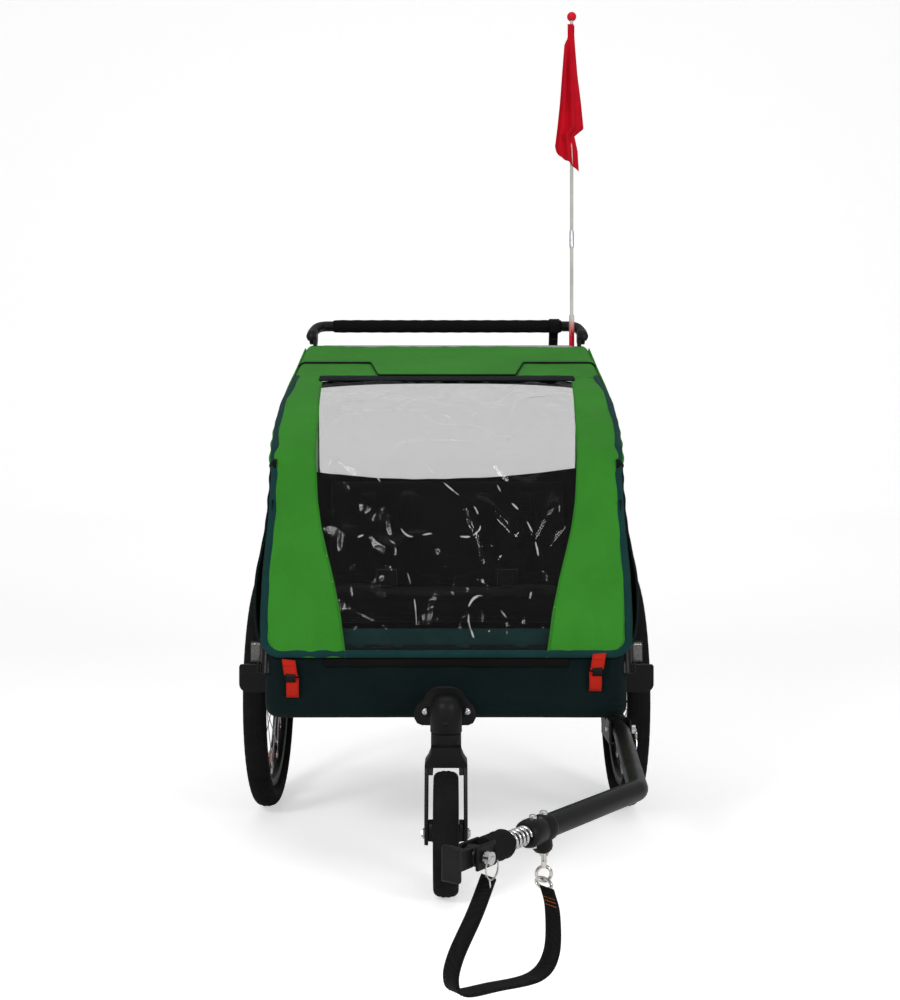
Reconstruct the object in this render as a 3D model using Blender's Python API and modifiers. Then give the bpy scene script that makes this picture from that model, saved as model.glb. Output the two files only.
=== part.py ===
"""Child bicycle trailer with a stroller front wheel, a tow bar, a folding cabin frame and a push handle.

Metres, +Z up, -Y is the front (tow side), +X is the trailer's left. The origin lies on the ground under
the middle of the trailer's bounding box. Every moving group hangs on an empty on its joint's axis.
"""

import math

import bmesh
import bpy
from mathutils import Matrix, Vector

# ---- driving dimensions ------------------------------------------------------------------------
# All places are measured from the ground under the rear axle. Pairs are (y, z) unless marked.
Y_SHIFT = 0.4977  # moves the whole trailer from that point to the middle of its bounding box
SIDES = ((1, "left"), (-1, "right"))

WHEEL_R, WHEEL_W, HALF_TRACK = 0.250, 0.045, 0.376
RIM_OUTER_R, RIM_INNER_R, RIM_W = 0.2075, 0.190, 0.026
SPOKE_COUNT, SPOKE_R = 16, 0.0012
FRONT_WHEEL_R, FRONT_AXLE = 0.100, (-0.640, 0.100)
SWIVEL_Y = -0.590

BASE_X, BASE_FRONT, BASE_REAR, BASE_Z, BASE_TUBE_R = 0.300, -0.449, 0.3615, 0.275, 0.0125
TUB_X, TUB_FRONT, TUB_REAR, TUB_BOTTOM = 0.3185, -0.466, 0.378, 0.256
TUB_CORNER_R, TUB_WALL = 0.023, 0.003

HOOP_X, HOOP_TUBE_R, HOOP_TOP = 0.318, 0.0125, (0.296, 0.9925)
UPRIGHT_TUBE_R, UPRIGHT_TOP = 0.011, (-0.335, 0.700)
ROOF_X, ROOF_TUBE_R = 0.291, 0.011
REAR_PIVOT, FRONT_PIVOT, ROOF_PIVOT = (0.345, 0.345), (-0.452, 0.345), (0.2996, 0.945)
FRAME_BORE_R = 0.0056  # pivot bores in the rear hoop and the uprights
REAR_PANEL_X = 0.283  # half width of the rear panel, rear window and tub's rear wall
COVER_HINGE = (0.030, 0.905)

HUB, HUB_R = (0.308, 1.026), 0.0175  # handlebar pivots
HANDLE = (0.375, 1.060)  # axis of the push bar
PUSH_BAR_R, FOAM_R = 0.0086, 0.0155
FLAG_X, FLAG_Y = 0.295, 0.328

TOW_X, TOW_Y, TOW_Z, TOW_TUBE_R = 0.300, -0.500, 0.245, 0.0145
TOW_HOLE_R = 0.0046  # receiver pin's hole through the receiver and the tow bar
BEND = Vector((0.264, -0.973, 0.245))  # x, y, z where the tow bar turns to the right
TOW_DIRECTION = Vector((-0.577, -0.817, 0.0)).normalized()  # along the tow bar past the bend
TOW_ACROSS = Vector((0.817, -0.577, 0.0)).normalized()  # across the hitch, level
YAW_DISTANCE, PITCH_DISTANCE = 0.315, 0.400  # from the bend to the hitch's two joints
HITCH_HOLE_R = 0.0045
SNAP_X, SNAP_Y = 0.120, -1.180

# Lower front edge to upper rear edge of the fabric front cover: y, z
COVER_PATH = [
    (-0.474, 0.372), (-0.452, 0.450), (-0.418, 0.550), (-0.378, 0.655), (-0.352, 0.715),
    (-0.310, 0.743), (-0.220, 0.797), (-0.140, 0.838), (-0.050, 0.875), (0.024, 0.903),
]


def tow_point(distance, across=0.0):
    """A point past the tow bar's bend: distance along the bar, then across it."""
    return BEND + TOW_DIRECTION * distance + TOW_ACROSS * across


# ---- scene, materials and pivots ---------------------------------------------------------------
for old in list(bpy.data.objects):
    bpy.data.objects.remove(old, do_unlink=True)
PARTS = bpy.data.collections.new("child_bicycle_trailer")
CUTTERS = bpy.data.collections.new("cutters")
for collection in (PARTS, CUTTERS):
    bpy.context.scene.collection.children.link(collection)


def material(name, colour, roughness, metallic=0.0, alpha=1.0):
    mat = bpy.data.materials.new(name)
    mat.use_nodes = True
    inputs = mat.node_tree.nodes["Principled BSDF"].inputs
    inputs["Base Color"].default_value = (*colour, 1.0)
    inputs["Roughness"].default_value = roughness
    inputs["Metallic"].default_value = metallic
    inputs["Alpha"].default_value = alpha
    mat.diffuse_color = (*colour, alpha)
    return mat


ALU = material("frame_aluminium", colour=(0.62, 0.63, 0.64), roughness=0.35, metallic=0.9)
BLACK_PAINT = material("black_powder_coat", colour=(0.008, 0.008, 0.009), roughness=0.4)
BLACK_PLASTIC = material("black_plastic", colour=(0.010, 0.010, 0.011), roughness=0.5)
STEEL = material("bright_steel", colour=(0.70, 0.70, 0.71), roughness=0.25, metallic=1.0)
RUBBER = material("tyre_rubber", colour=(0.012, 0.012, 0.013), roughness=0.85)
FOAM = material("foam_rubber", colour=(0.010, 0.010, 0.010), roughness=0.95)
GREEN = material("green_fabric", colour=(0.045, 0.255, 0.032), roughness=0.9)
TUB_FABRIC = material("dark_tub_fabric", colour=(0.008, 0.014, 0.013), roughness=0.9)
SEAT_FABRIC = material("seat_fabric", colour=(0.020, 0.022, 0.024), roughness=0.92)
VINYL = material("clear_vinyl", colour=(0.75, 0.78, 0.78), roughness=0.08, alpha=0.35)
WEBBING = material("black_webbing", colour=(0.010, 0.010, 0.011), roughness=0.9)
FLAG_RED = material("flag_red", colour=(0.51, 0.0, 0.03), roughness=0.6)
FIBRE = material("pole_fibreglass", colour=(0.46, 0.48, 0.44), roughness=0.45)
REFLECTOR = material("reflector_grey", colour=(0.10, 0.09, 0.08), roughness=0.15)

# Moving group: name of its empty, pivot (x, y, z), parent group
TOW_JOINT = (TOW_X, TOW_Y, TOW_Z)
YAW_JOINT, PITCH_JOINT = tow_point(YAW_DISTANCE), tow_point(PITCH_DISTANCE)
GROUPS = {
    "chassis": ("trailer", (0, 0, 0), None),
    "rear_frame": ("rear_frame_pivot", (0, *REAR_PIVOT), "chassis"),
    "front_frame": ("front_frame_pivot", (0, *FRONT_PIVOT), "chassis"),
    "front_cover": ("front_cover_pivot", (0, *COVER_HINGE), "chassis"),
    "left_wheel": ("left_wheel_pivot", (HALF_TRACK, 0, WHEEL_R), "chassis"),
    "right_wheel": ("right_wheel_pivot", (-HALF_TRACK, 0, WHEEL_R), "chassis"),
    "fork": ("fork_pivot", (0, SWIVEL_Y, 0.25), "chassis"),
    "drawbar": ("drawbar_pivot", TOW_JOINT, "chassis"),
    "receiver_pin": ("receiver_pin_pivot", TOW_JOINT, "chassis"),
    "roof_frame": ("roof_frame_pivot", (0, *ROOF_PIVOT), "rear_frame"),
    "handlebar": ("handlebar_pivot", (0, *HUB), "rear_frame"),
    "left_button": ("left_button_pivot", (0.326, *HUB), "handlebar"),
    "right_button": ("right_button_pivot", (-0.326, *HUB), "handlebar"),
    "flag": ("flag_pivot", (FLAG_X, FLAG_Y, 0.935), "rear_frame"),
    "front_wheel": ("front_wheel_pivot", (0, *FRONT_AXLE), "fork"),
    "yoke": ("hitch_yoke_pivot", YAW_JOINT, "drawbar"),
    "plate": ("hitch_plate_pivot", PITCH_JOINT, "yoke"),
    "hitch_pin": ("hitch_pin_pivot", PITCH_JOINT, "yoke"),
    "trigger": ("snap_trigger_pivot", (SNAP_X, SNAP_Y, 0.205), "drawbar"),
}
EMPTIES = {}


def pivot_of(group):
    return Vector(GROUPS[group][1])


def add_pivots():
    for group, (name, _, parent) in GROUPS.items():
        empty = bpy.data.objects.new(name, None)
        empty.empty_display_size = 0.04
        PARTS.objects.link(empty)
        if parent:
            empty.parent = EMPTIES[parent]
            empty.location = pivot_of(group) - pivot_of(parent)
        else:
            empty.location = (0, Y_SHIFT, 0)
        EMPTIES[group] = empty


# ---- paths -------------------------------------------------------------------------------------
def rounded(points, radius, steps=4, closed=False):
    """The polyline with each corner replaced by an arc."""
    points = [Vector(point) for point in points]
    last = len(points) - 1
    path = []
    for i, corner in enumerate(points):
        if not closed and i in (0, last):
            path.append(corner)
            continue
        back = points[i - 1] - corner
        ahead = points[(i + 1) % len(points)] - corner
        half_angle = back.angle(ahead) / 2
        if half_angle > math.radians(89):  # almost straight
            path.append(corner)
            continue
        reach = min(radius / math.tan(half_angle), back.length * 0.49, ahead.length * 0.49)
        arc_radius = reach * math.tan(half_angle)
        back.normalize()
        ahead.normalize()
        centre = corner + (back + ahead).normalized() * (arc_radius / math.sin(half_angle))
        first = corner + back * reach - centre
        final = corner + ahead * reach - centre
        turn = first.angle(final)
        axis = first.cross(final).normalized()
        for k in range(steps + 1):
            path.append(centre + Matrix.Rotation(turn * k / steps, 3, axis) @ first)
    return path


def rounded_rectangle(half_x, front, rear, radius, z=0.0):
    corners = [(half_x, front, z), (half_x, rear, z), (-half_x, rear, z), (-half_x, front, z)]
    return rounded(corners, radius, closed=True)


def along(start, toward, distance):
    """The point at a distance from start towards another; a negative distance lies behind start."""
    start = Vector(start)
    return start + (Vector(toward) - start).normalized() * distance


def mirrored(half_profile):
    """A (radius, height) profile followed by its reflection in height 0."""
    return [*half_profile, *((r, -height) for r, height in reversed(half_profile) if height)]


# ---- solids ------------------------------------------------------------------------------------
def place(obj, name, group, mat):
    """Names the object, gives it its material and hangs it on its group's empty where it stands."""
    obj.name = name
    obj.data.name = name
    if mat is not None:
        obj.data.materials.append(mat)
    for owner in list(obj.users_collection):
        owner.objects.unlink(obj)
    PARTS.objects.link(obj)
    obj.parent = EMPTIES[group]
    obj.location = obj.location - pivot_of(group)
    return obj


def in_scene(name, data):
    obj = bpy.data.objects.new(name, data)
    bpy.context.scene.collection.objects.link(obj)
    return obj


def baked(obj):
    """The evaluated object as a mesh with its loose caps welded, which a Boolean can use."""
    bpy.context.view_layer.update()
    graph = bpy.context.evaluated_depsgraph_get()
    mesh = bpy.data.meshes.new_from_object(obj.evaluated_get(graph))
    bm = bmesh.new()
    bm.from_mesh(mesh)
    bmesh.ops.remove_doubles(bm, verts=bm.verts, dist=1e-6)
    bmesh.ops.recalc_face_normals(bm, faces=bm.faces)
    bm.to_mesh(mesh)
    bm.free()
    new = in_scene(obj.name, mesh)
    new.matrix_world = obj.matrix_world.copy()
    bpy.data.objects.remove(obj, do_unlink=True)
    return new


def poly_curve(name, points, dimensions, closed):
    curve = bpy.data.curves.new(name, "CURVE")
    curve.dimensions = dimensions
    spline = curve.splines.new("POLY")
    spline.points.add(len(points) - 1)
    for spline_point, point in zip(spline.points, points):
        spline_point.co = (*point, 1.0)
    spline.use_cyclic_u = closed
    return curve


def tube(name, points, radius, group, mat, resolution=2, closed=False, keep_curve=False):
    curve = poly_curve(name, points, "3D", closed)
    curve.splines[0].use_smooth = True
    curve.bevel_depth = radius
    curve.bevel_resolution = resolution
    curve.use_fill_caps = not closed
    obj = in_scene(name, curve)
    return place(obj if keep_curve else baked(obj), name, group, mat)


def prism(name, outline, centre, half_depth, plane, group, mat=None):
    """A flat outline given thickness. YZ is extruded along X, XZ along Y, and XY along Z."""
    curve = poly_curve(name, [(p[0], p[1], 0.0) for p in outline], "2D", True)
    curve.fill_mode = "BOTH"
    curve.extrude = half_depth
    obj = in_scene(name, curve)
    quarter = math.pi / 2
    obj.rotation_euler, obj.location = {
        "YZ": ((quarter, 0, quarter), (centre, 0, 0)),
        "XZ": ((quarter, 0, 0), (0, centre, 0)),
        "XY": ((0, 0, 0), (0, 0, centre)),
    }[plane]
    return place(baked(obj), name, group, mat)


def box(name, low, high, group, mat=None, bevel=0.0, segments=2, side=1):
    """A box between two corners; side -1 puts it at the mirrored place on the right."""
    low, high = Vector(low), Vector(high)
    centre = (low + high) / 2
    centre.x *= side
    bpy.ops.mesh.primitive_cube_add(size=1.0, location=centre)
    obj = bpy.context.object
    obj.scale = high - low
    bpy.ops.object.transform_apply(location=False, rotation=False, scale=True)
    if bevel:
        modifier = obj.modifiers.new("bevel", "BEVEL")
        modifier.width = bevel
        modifier.segments = segments
        modifier.limit_method = "ANGLE"
    return place(obj, name, group, mat)


def cylinder(name, start, end, radius, group, mat=None, sides=20):
    start, end = Vector(start), Vector(end)
    axis = end - start
    bpy.ops.mesh.primitive_cylinder_add(
        vertices=sides, radius=radius, depth=axis.length, location=(start + end) / 2
    )
    obj = bpy.context.object
    obj.rotation_mode = "QUATERNION"
    obj.rotation_quaternion = Vector((0, 0, 1)).rotation_difference(axis.normalized())
    return place(obj, name, group, mat)


def x_cylinder(name, x_start, x_end, centre, radius, group, mat=None, sides=20):
    """A cylinder along X whose axis passes through centre (y, z)."""
    return cylinder(name, (x_start, *centre), (x_end, *centre), radius, group, mat, sides)


def z_cylinder(name, centre, bottom, top, radius, group, mat=None, sides=20):
    """A cylinder along Z whose axis passes through centre (x, y)."""
    return cylinder(name, (*centre, bottom), (*centre, top), radius, group, mat, sides)


def ball(name, at, size, group, segments):
    bpy.ops.mesh.primitive_uv_sphere_add(
        segments=segments, ring_count=segments // 2, radius=1.0, location=at
    )
    obj = bpy.context.object
    obj.scale = size
    bpy.ops.object.transform_apply(location=False, rotation=False, scale=True)
    return place(obj, name, group, None)


def upright_ring(name, at, major_radius, minor_radius, group, mat=None):
    """A torus standing in the XZ plane."""
    bpy.ops.mesh.primitive_torus_add(
        major_radius=major_radius, minor_radius=minor_radius, major_segments=20,
        minor_segments=8, location=at, rotation=(math.pi / 2, 0, 0),
    )
    return place(bpy.context.object, name, group, mat)


def turned(name, profile, at, group, mat, steps=32, lean=(0, math.pi / 2, 0)):
    """Spins a (radius, height) profile round Z, then leans it; the default lays its axis along X."""
    mesh = bpy.data.meshes.new(name)
    bm = bmesh.new()
    verts = [bm.verts.new((radius, 0, z)) for radius, z in profile]
    for pair in zip(verts, verts[1:]):
        bm.edges.new(pair)
    if profile[0][0] > 1e-9:  # off the axis: the profile closes on itself
        bm.edges.new((verts[-1], verts[0]))
    bm.to_mesh(mesh)
    bm.free()
    obj = in_scene(name, mesh)
    screw = obj.modifiers.new("screw", "SCREW")
    screw.axis = "Z"
    screw.angle = math.tau
    screw.steps = screw.render_steps = steps
    screw.use_merge_vertices = True
    screw.merge_threshold = 1e-5
    screw.use_normal_calculate = True
    obj.location = at
    obj.rotation_euler = lean
    return place(baked(obj), name, group, mat)


def sheet(name, path, half_width, thickness, group, mat, across=(1, 0, 0)):
    """A band that follows a path of x, y, z points, given thickness by Solidify."""
    mesh = bpy.data.meshes.new(name)
    spans = len(path) - 1
    bm = bmesh.new()
    bmesh.ops.create_grid(bm, x_segments=1, y_segments=spans, size=0.5)
    for vert in bm.verts:
        station = Vector(path[round((vert.co.y + 0.5) * spans)])
        vert.co = station + Vector(across) * (2 * half_width * vert.co.x)
    bmesh.ops.recalc_face_normals(bm, faces=bm.faces)
    bm.to_mesh(mesh)
    bm.free()
    obj = in_scene(name, mesh)
    solidify = obj.modifiers.new("solidify", "SOLIDIFY")
    solidify.thickness = thickness
    solidify.offset = 0.0
    solidify.use_even_offset = True
    return place(baked(obj), name, group, mat)


def side_sheet(name, path, half_width, thickness, group, mat, x=0.0):
    """A sheet across X along a path of (y, z), centred on x."""
    sheet(name, [(x, *point) for point in path], half_width, thickness, group, mat)


def combine(target, tool, operation):
    """Applies a live Boolean and puts the tool away as a hidden helper."""
    modifier = target.modifiers.new(operation.lower(), "BOOLEAN")
    modifier.operation = operation
    modifier.solver = "EXACT"
    modifier.object = tool
    PARTS.objects.unlink(tool)
    CUTTERS.objects.link(tool)
    tool.hide_render = True
    tool.display_type = "WIRE"


def cut(target, tool):
    combine(target, tool, "DIFFERENCE")


def join(target, tool):
    combine(target, tool, "UNION")


# ---- chassis -----------------------------------------------------------------------------------
def base_frame():
    ring = rounded_rectangle(BASE_X, BASE_FRONT, BASE_REAR, 0.030, BASE_Z)
    tube("base_frame", ring, BASE_TUBE_R, "chassis", ALU, closed=True, keep_curve=True)


def axle_beam():
    """Square beam with a wheel socket at each end."""
    beam = box("axle_beam", (-0.3365, -0.015, 0.2255), (0.3365, 0.015, 0.2555), "chassis", ALU)
    for s, side in SIDES:
        low, high = (0.3195, -0.018, 0.2245), (0.3375, 0.018, 0.2705)
        join(beam, box(f"socket_{side}", low, high, "chassis", ALU, bevel=0.003, side=s))
        bore = (s * 0.3175, s * 0.350, (0, WHEEL_R), 0.0066)
        cut(beam, x_cylinder(f"socket_bore_{side}", *bore, "chassis"))


def tub():
    """Open fabric tub with raised front and rear walls, and the board on its floor."""
    half_height, hollow_half_height = 0.033, 0.050
    outer = rounded_rectangle(TUB_X, TUB_FRONT, TUB_REAR, TUB_CORNER_R)
    inner = rounded_rectangle(
        TUB_X - TUB_WALL, TUB_FRONT + TUB_WALL, TUB_REAR - TUB_WALL, TUB_CORNER_R - TUB_WALL
    )
    shell_z = TUB_BOTTOM + half_height
    hollow_z = TUB_BOTTOM + TUB_WALL + hollow_half_height
    shell = prism("tub_shell", outer, shell_z, half_height, "XY", "chassis", TUB_FABRIC)
    cut(shell, prism("tub_hollow", inner, hollow_z, hollow_half_height, "XY", "chassis"))
    inset = 0.0001  # keeps the raised walls' faces clear of the shell's
    bottom, top = 0.300, 0.384
    for name, half_x, y in (
        ("tub_front_wall", 0.289, TUB_FRONT),
        ("tub_rear_wall", REAR_PANEL_X, TUB_REAR - TUB_WALL),
    ):
        low = (-half_x, y + inset, bottom)
        high = (half_x, y + TUB_WALL - inset, top)
        join(shell, box(name, low, high, "chassis", TUB_FABRIC))
    low, high = (-0.288, -0.432, 0.2882), (0.288, 0.346, 0.2912)
    box("floor_board", low, high, "chassis", BLACK_PLASTIC)


def seat():
    """Cushion, leaning back, and two harnesses on the back's front face."""
    half_width = 0.262
    low, high = (-half_width, -0.105, 0.398), (half_width, 0.112, 0.452)
    box("seat_cushion", low, high, "chassis", SEAT_FABRIC, bevel=0.018)
    # y, z: lower front, lower rear, upper rear, upper front
    outline = [(0.125, 0.460), (0.150, 0.455), (0.218, 0.705), (0.193, 0.712)]
    prism("seat_back", outline, 0.0, half_width, "YZ", "chassis", SEAT_FABRIC)

    foot, top = outline[0], outline[3]
    tilt = -math.atan2(top[0] - foot[0], top[1] - foot[1])

    def on_back(name, x_low, x_high, y_low, y_high, z_low, z_high):
        """A block measured from the back's lower front edge, square to its front face."""
        low, high = (x_low, y_low, z_low), (x_high, y_high, z_high)
        block = box(name, low, high, "chassis", WEBBING)
        block.rotation_euler = (tilt, 0, 0)
        block.location = Matrix.Rotation(tilt, 3, "X") @ block.location + Vector((0, *foot))
        return block

    # Name, x range from the child's centre line, y range, z range
    additions = (
        ("strap", 0.033, 0.058, -0.0062, -0.0030, 0.030, 0.235),
        ("belt", -0.075, 0.075, -0.0090, -0.0032, 0.020, 0.048),
        ("buckle", -0.022, 0.022, -0.0160, -0.0040, 0.012, 0.058),
    )
    for s, side in SIDES:
        x = s * 0.131
        strap = (x - 0.058, x - 0.033, -0.0062, -0.0030, 0.030, 0.235)
        harness = on_back(f"harness_{side}", *strap)
        for part, x_low, x_high, *rest in additions:
            join(harness, on_back(f"harness_{part}_{side}", x + x_low, x + x_high, *rest))


def wheel_guards():
    """Bent plates ahead of the rear wheels, each with a reflector on its front."""
    outline = [  # x (on the left), y
        (0.3212, -0.420), (0.3252, -0.420), (0.3252, -0.326), (0.371, -0.304), (0.377, -0.297),
        (0.377, -0.290), (0.372, -0.290), (0.368, -0.2985), (0.3212, -0.321),
    ]
    low, high = (0.332, -0.3180, 0.3224), (0.373, -0.3095, 0.372)
    for s, side in SIDES:
        shape = [(s * x, y) for x, y in outline]
        prism(f"wheel_guard_{side}", shape, 0.296, 0.026, "XY", "chassis", BLACK_PLASTIC)
        name = f"front_reflector_{side}"
        box(name, low, high, "chassis", REFLECTOR, bevel=0.0025, side=s)


def swivel_bracket():
    """Block on the tub's front that carries the fork's stem in a domed barrel."""
    low, high = (-0.050, -0.5250, 0.2560), (0.050, -0.4668, 0.3040)
    bracket = box("swivel_bracket", low, high, "chassis", BLACK_PLASTIC, 0.010, segments=3)
    axis = (0, SWIVEL_Y)
    join(bracket, z_cylinder("bracket_barrel", axis, 0.2558, 0.2920, 0.0345, "chassis", sides=24))
    dome = ball("bracket_dome", (*axis, 0.2915), (0.0347, 0.0347, 0.0290), "chassis", 24)
    join(bracket, dome)
    low, high = (-0.028, -0.5950, 0.2559), (0.028, -0.5150, 0.2980)
    join(bracket, box("bracket_web", low, high, "chassis", bevel=0.006))
    cut(bracket, z_cylinder("stem_bore", axis, 0.240, 0.2960, 0.0096, "chassis"))

    # Domed bolt head: radius, height towards the front
    head = [(0, 0.0050), (0.0035, 0.0044), (0.0066, 0.0020), (0.0068, 0.0), (0, 0.0)]
    forward = (math.pi / 2, 0, 0)
    for s, side in SIDES:
        at = (s * 0.036, -0.5254, 0.280)
        turned(f"bracket_bolt_{side}", head, at, "chassis", STEEL, 16, forward)


def tow_receiver():
    """Channel under the left front of the tub, and the pin that crosses it."""
    def block(name, half_width, y_front, y_rear, bottom, top, mat=None):
        low = (TOW_X - half_width, y_front, bottom)
        return box(name, low, (TOW_X + half_width, y_rear, top), "chassis", mat)

    receiver = block("tow_receiver", 0.0195, -0.5160, -0.4000, 0.2215, 0.2555, BLACK_PAINT)
    join(receiver, block("receiver_cheeks", 0.0194, -0.5158, -0.4720, 0.2300, 0.2610))
    cut(receiver, block("receiver_channel", 0.0158, -0.5400, -0.4740, 0.2252, 0.3000))
    axis = (TOW_Y, TOW_Z)
    cut(receiver, x_cylinder("receiver_hole", 0.2700, 0.3300, axis, TOW_HOLE_R, "chassis"))

    group = "receiver_pin"
    pin = x_cylinder("receiver_pin", 0.2760, 0.3240, axis, 0.0040, group, STEEL, 16)
    join(pin, x_cylinder("receiver_pin_head", 0.3206, 0.3275, axis, 0.0075, group))


def frame_hinges():
    """Plates inside the tub with the pins for the rear hoop and the front uprights."""
    hinges = (  # place, pivot, front and rear edges (y)
        ("rear", REAR_PIVOT, 0.3300, 0.3590),
        ("front", FRONT_PIVOT, -0.4588, -0.4360),
    )
    for s, side in SIDES:
        for where, pivot, front, rear in hinges:
            name = f"{where}_hinge"
            low, high = (0.2925, front, 0.2885), (0.3045, rear, 0.3600)
            plate = box(f"{name}_{side}", low, high, "chassis", STEEL, side=s)
            for part, x_in, x_out, radius in (
                ("pin", 0.3000, 0.3325, 0.0050),
                ("head", 0.3312, 0.3345, 0.0085),
            ):
                span = (s * x_in, s * x_out)
                label = f"{name}_{part}_{side}"
                join(plate, x_cylinder(label, *span, pivot, radius, "chassis", sides=16))


def cabin_skin():
    """Fabric sides, roof and rear, and the rear window."""
    side_outline = [  # y, z
        (-0.430, 0.405), (-0.402, 0.500), (-0.360, 0.600), (-0.337, 0.655), (-0.290, 0.720),
        (-0.200, 0.785), (-0.100, 0.845), (0.030, 0.893), (0.150, 0.945), (0.285, 0.990),
        (0.300, 0.985), (0.337, 0.420), (0.330, 0.405),
    ]
    for s, side in SIDES:
        prism(f"side_panel_{side}", side_outline, s * 0.3328, 0.001, "YZ", "chassis", GREEN)
    roof_path = [  # y, z
        (0.036, 0.908), (0.100, 0.932), (0.180, 0.964), (0.250, 0.992), (0.3000, 1.0090),
    ]
    side_sheet("roof_cover", roof_path, 0.300, 0.002, "chassis", GREEN)
    panel_path = [(0.3600, 0.362), (0.3335, 0.700)]
    side_sheet("rear_panel", panel_path, REAR_PANEL_X, 0.002, "chassis", GREEN)
    window_path = [(0.3329, 0.708), (0.3137, 0.960)]
    side_sheet("rear_window", window_path, REAR_PANEL_X, 0.0012, "chassis", VINYL)


# ---- folding frame -----------------------------------------------------------------------------
def rear_hoop():
    """Hoop on the rear pivots, with roof pins and the hubs of the handlebar."""
    group = "rear_frame"
    foot = along(REAR_PIVOT, HOOP_TOP, -0.012)
    corners = [(HOOP_X, *foot), (HOOP_X, *HOOP_TOP), (-HOOP_X, *HOOP_TOP), (-HOOP_X, *foot)]
    hoop = tube("rear_hoop", rounded(corners, 0.032), HOOP_TUBE_R, group, ALU)
    for s, side in SIDES:
        bore = (s * 0.290, s * 0.345, REAR_PIVOT, FRAME_BORE_R)
        cut(hoop, x_cylinder(f"hoop_bore_{side}", *bore, group, sides=16))
        pin = (s * 0.2785, s * 0.3180, ROOF_PIVOT, 0.0048)
        join(hoop, x_cylinder(f"roof_pin_{side}", *pin, group, sides=16))
        disc = (s * 0.3060, s * 0.3144, HUB, HUB_R)
        hub = x_cylinder(f"handle_hub_{side}", *disc, group, BLACK_PLASTIC, 24)
        low, high = (0.3064, 0.2900, 1.0012), (0.3140, 0.3170, 1.0180)
        join(hub, box(f"hub_foot_{side}", low, high, group, side=s))


def flag_socket():
    group, axis = "rear_frame", (FLAG_X, FLAG_Y)
    socket = z_cylinder("flag_socket", axis, 0.925, 0.998, 0.0088, group, BLACK_PLASTIC)
    join(socket, box("flag_clip", (0.2960, 0.3112, 0.962), (0.3240, 0.3260, 0.974), group))
    cut(socket, z_cylinder("flag_bore", axis, 0.932, 1.010, 0.0046, group, sides=16))


def roof_frame():
    """Two side rails joined near their front ends by a shallow bow."""
    group = "roof_frame"
    knee, front_end = (0.150, 0.918), (0.018, 0.8783)
    rear_end = along(ROOF_PIVOT, knee, -0.011)
    left_path = rounded([(ROOF_X, *point) for point in (rear_end, knee, front_end)], 0.20)

    def rail(name, s):
        return tube(name, [(s * x, y, z) for x, y, z in left_path], ROOF_TUBE_R, group, ALU)

    def bore(side, s):
        span = (s * 0.270, s * 0.312)
        return x_cylinder(f"roof_bore_{side}", *span, ROOF_PIVOT, 0.0054, group, sides=16)

    frame = rail("roof_frame", 1)
    cut(frame, bore("left", 1))
    bow_y, end_z, middle_z = 0.030, 0.882, 0.894
    bow = [(-ROOF_X, bow_y, end_z), (0.0, bow_y, middle_z), (ROOF_X, bow_y, end_z)]
    join(frame, tube("roof_bow", rounded(bow, 1.0), 0.009, group, ALU))
    join(frame, rail("roof_rail_right", -1))
    cut(frame, bore("right", -1))


def front_uprights():
    """Leaning posts, each with a latch block at its top."""
    group = "front_frame"
    foot = along(FRONT_PIVOT, UPRIGHT_TOP, -0.011)
    for s, side in SIDES:
        ends = [(s * HOOP_X, *foot), (s * HOOP_X, *UPRIGHT_TOP)]
        post = tube(f"front_upright_{side}", ends, UPRIGHT_TUBE_R, group, ALU)
        bore = (s * 0.295, s * 0.340, FRONT_PIVOT, FRAME_BORE_R)
        cut(post, x_cylinder(f"upright_bore_{side}", *bore, group, sides=16))
        low, high = (0.3240, -0.3520, 0.6860), (0.3410, -0.3180, 0.7200)
        join(post, box(f"corner_latch_{side}", low, high, group, BLACK_PLASTIC, side=s))


# ---- handlebar, flag and front cover -----------------------------------------------------------
def handlebar():
    """Push bar between two arms with hub discs and buttons."""
    group, arm_foot_x, arm_end_x = "handlebar", 0.3238, 0.3240
    foot = along(HUB, HANDLE, 0.0125)
    corners = [
        (arm_foot_x, *foot), (arm_end_x, *HANDLE), (-arm_end_x, *HANDLE), (-arm_foot_x, *foot),
    ]
    bar = tube("handlebar", rounded(corners, 0.030, 5), PUSH_BAR_R, group, BLACK_PAINT)
    for s, side in SIDES:
        disc = (s * 0.3149, s * 0.3246, HUB, HUB_R)
        join(bar, x_cylinder(f"arm_disc_{side}", *disc, group, sides=24))
    for s, side in SIDES:
        recess = (s * 0.3186, s * 0.3400, HUB, 0.0096)
        cut(bar, x_cylinder(f"button_recess_{side}", *recess, group))
        button = (s * 0.3232, s * 0.3292, HUB, 0.0090)
        x_cylinder(f"handle_button_{side}", *button, f"{side}_button", BLACK_PLASTIC)

    grip = x_cylinder("foam_grip", -0.284, 0.284, HANDLE, FOAM_R, group, FOAM, 24)
    clearance = 0.0004
    cut(grip, x_cylinder("grip_bore", -0.300, 0.300, HANDLE, PUSH_BAR_R + clearance, group))


def wrist_strap():
    """Webbing that wraps over the grip near its left end and hangs behind it."""
    wrap_radius = 0.0182
    bar_y, bar_z = HANDLE
    wrap = [
        (bar_y + wrap_radius * math.cos(angle), bar_z + wrap_radius * math.sin(angle))
        for angle in map(math.radians, range(200, -1, -25))
    ]
    # The point where the strap leaves the wrap is a station of both, so it comes twice
    path = [*wrap, wrap[-1], (bar_y + 0.0190, bar_z - 0.0700)]
    side_sheet("wrist_strap", path, 0.0125, 0.002, "handlebar", WEBBING, x=0.257)


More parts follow.
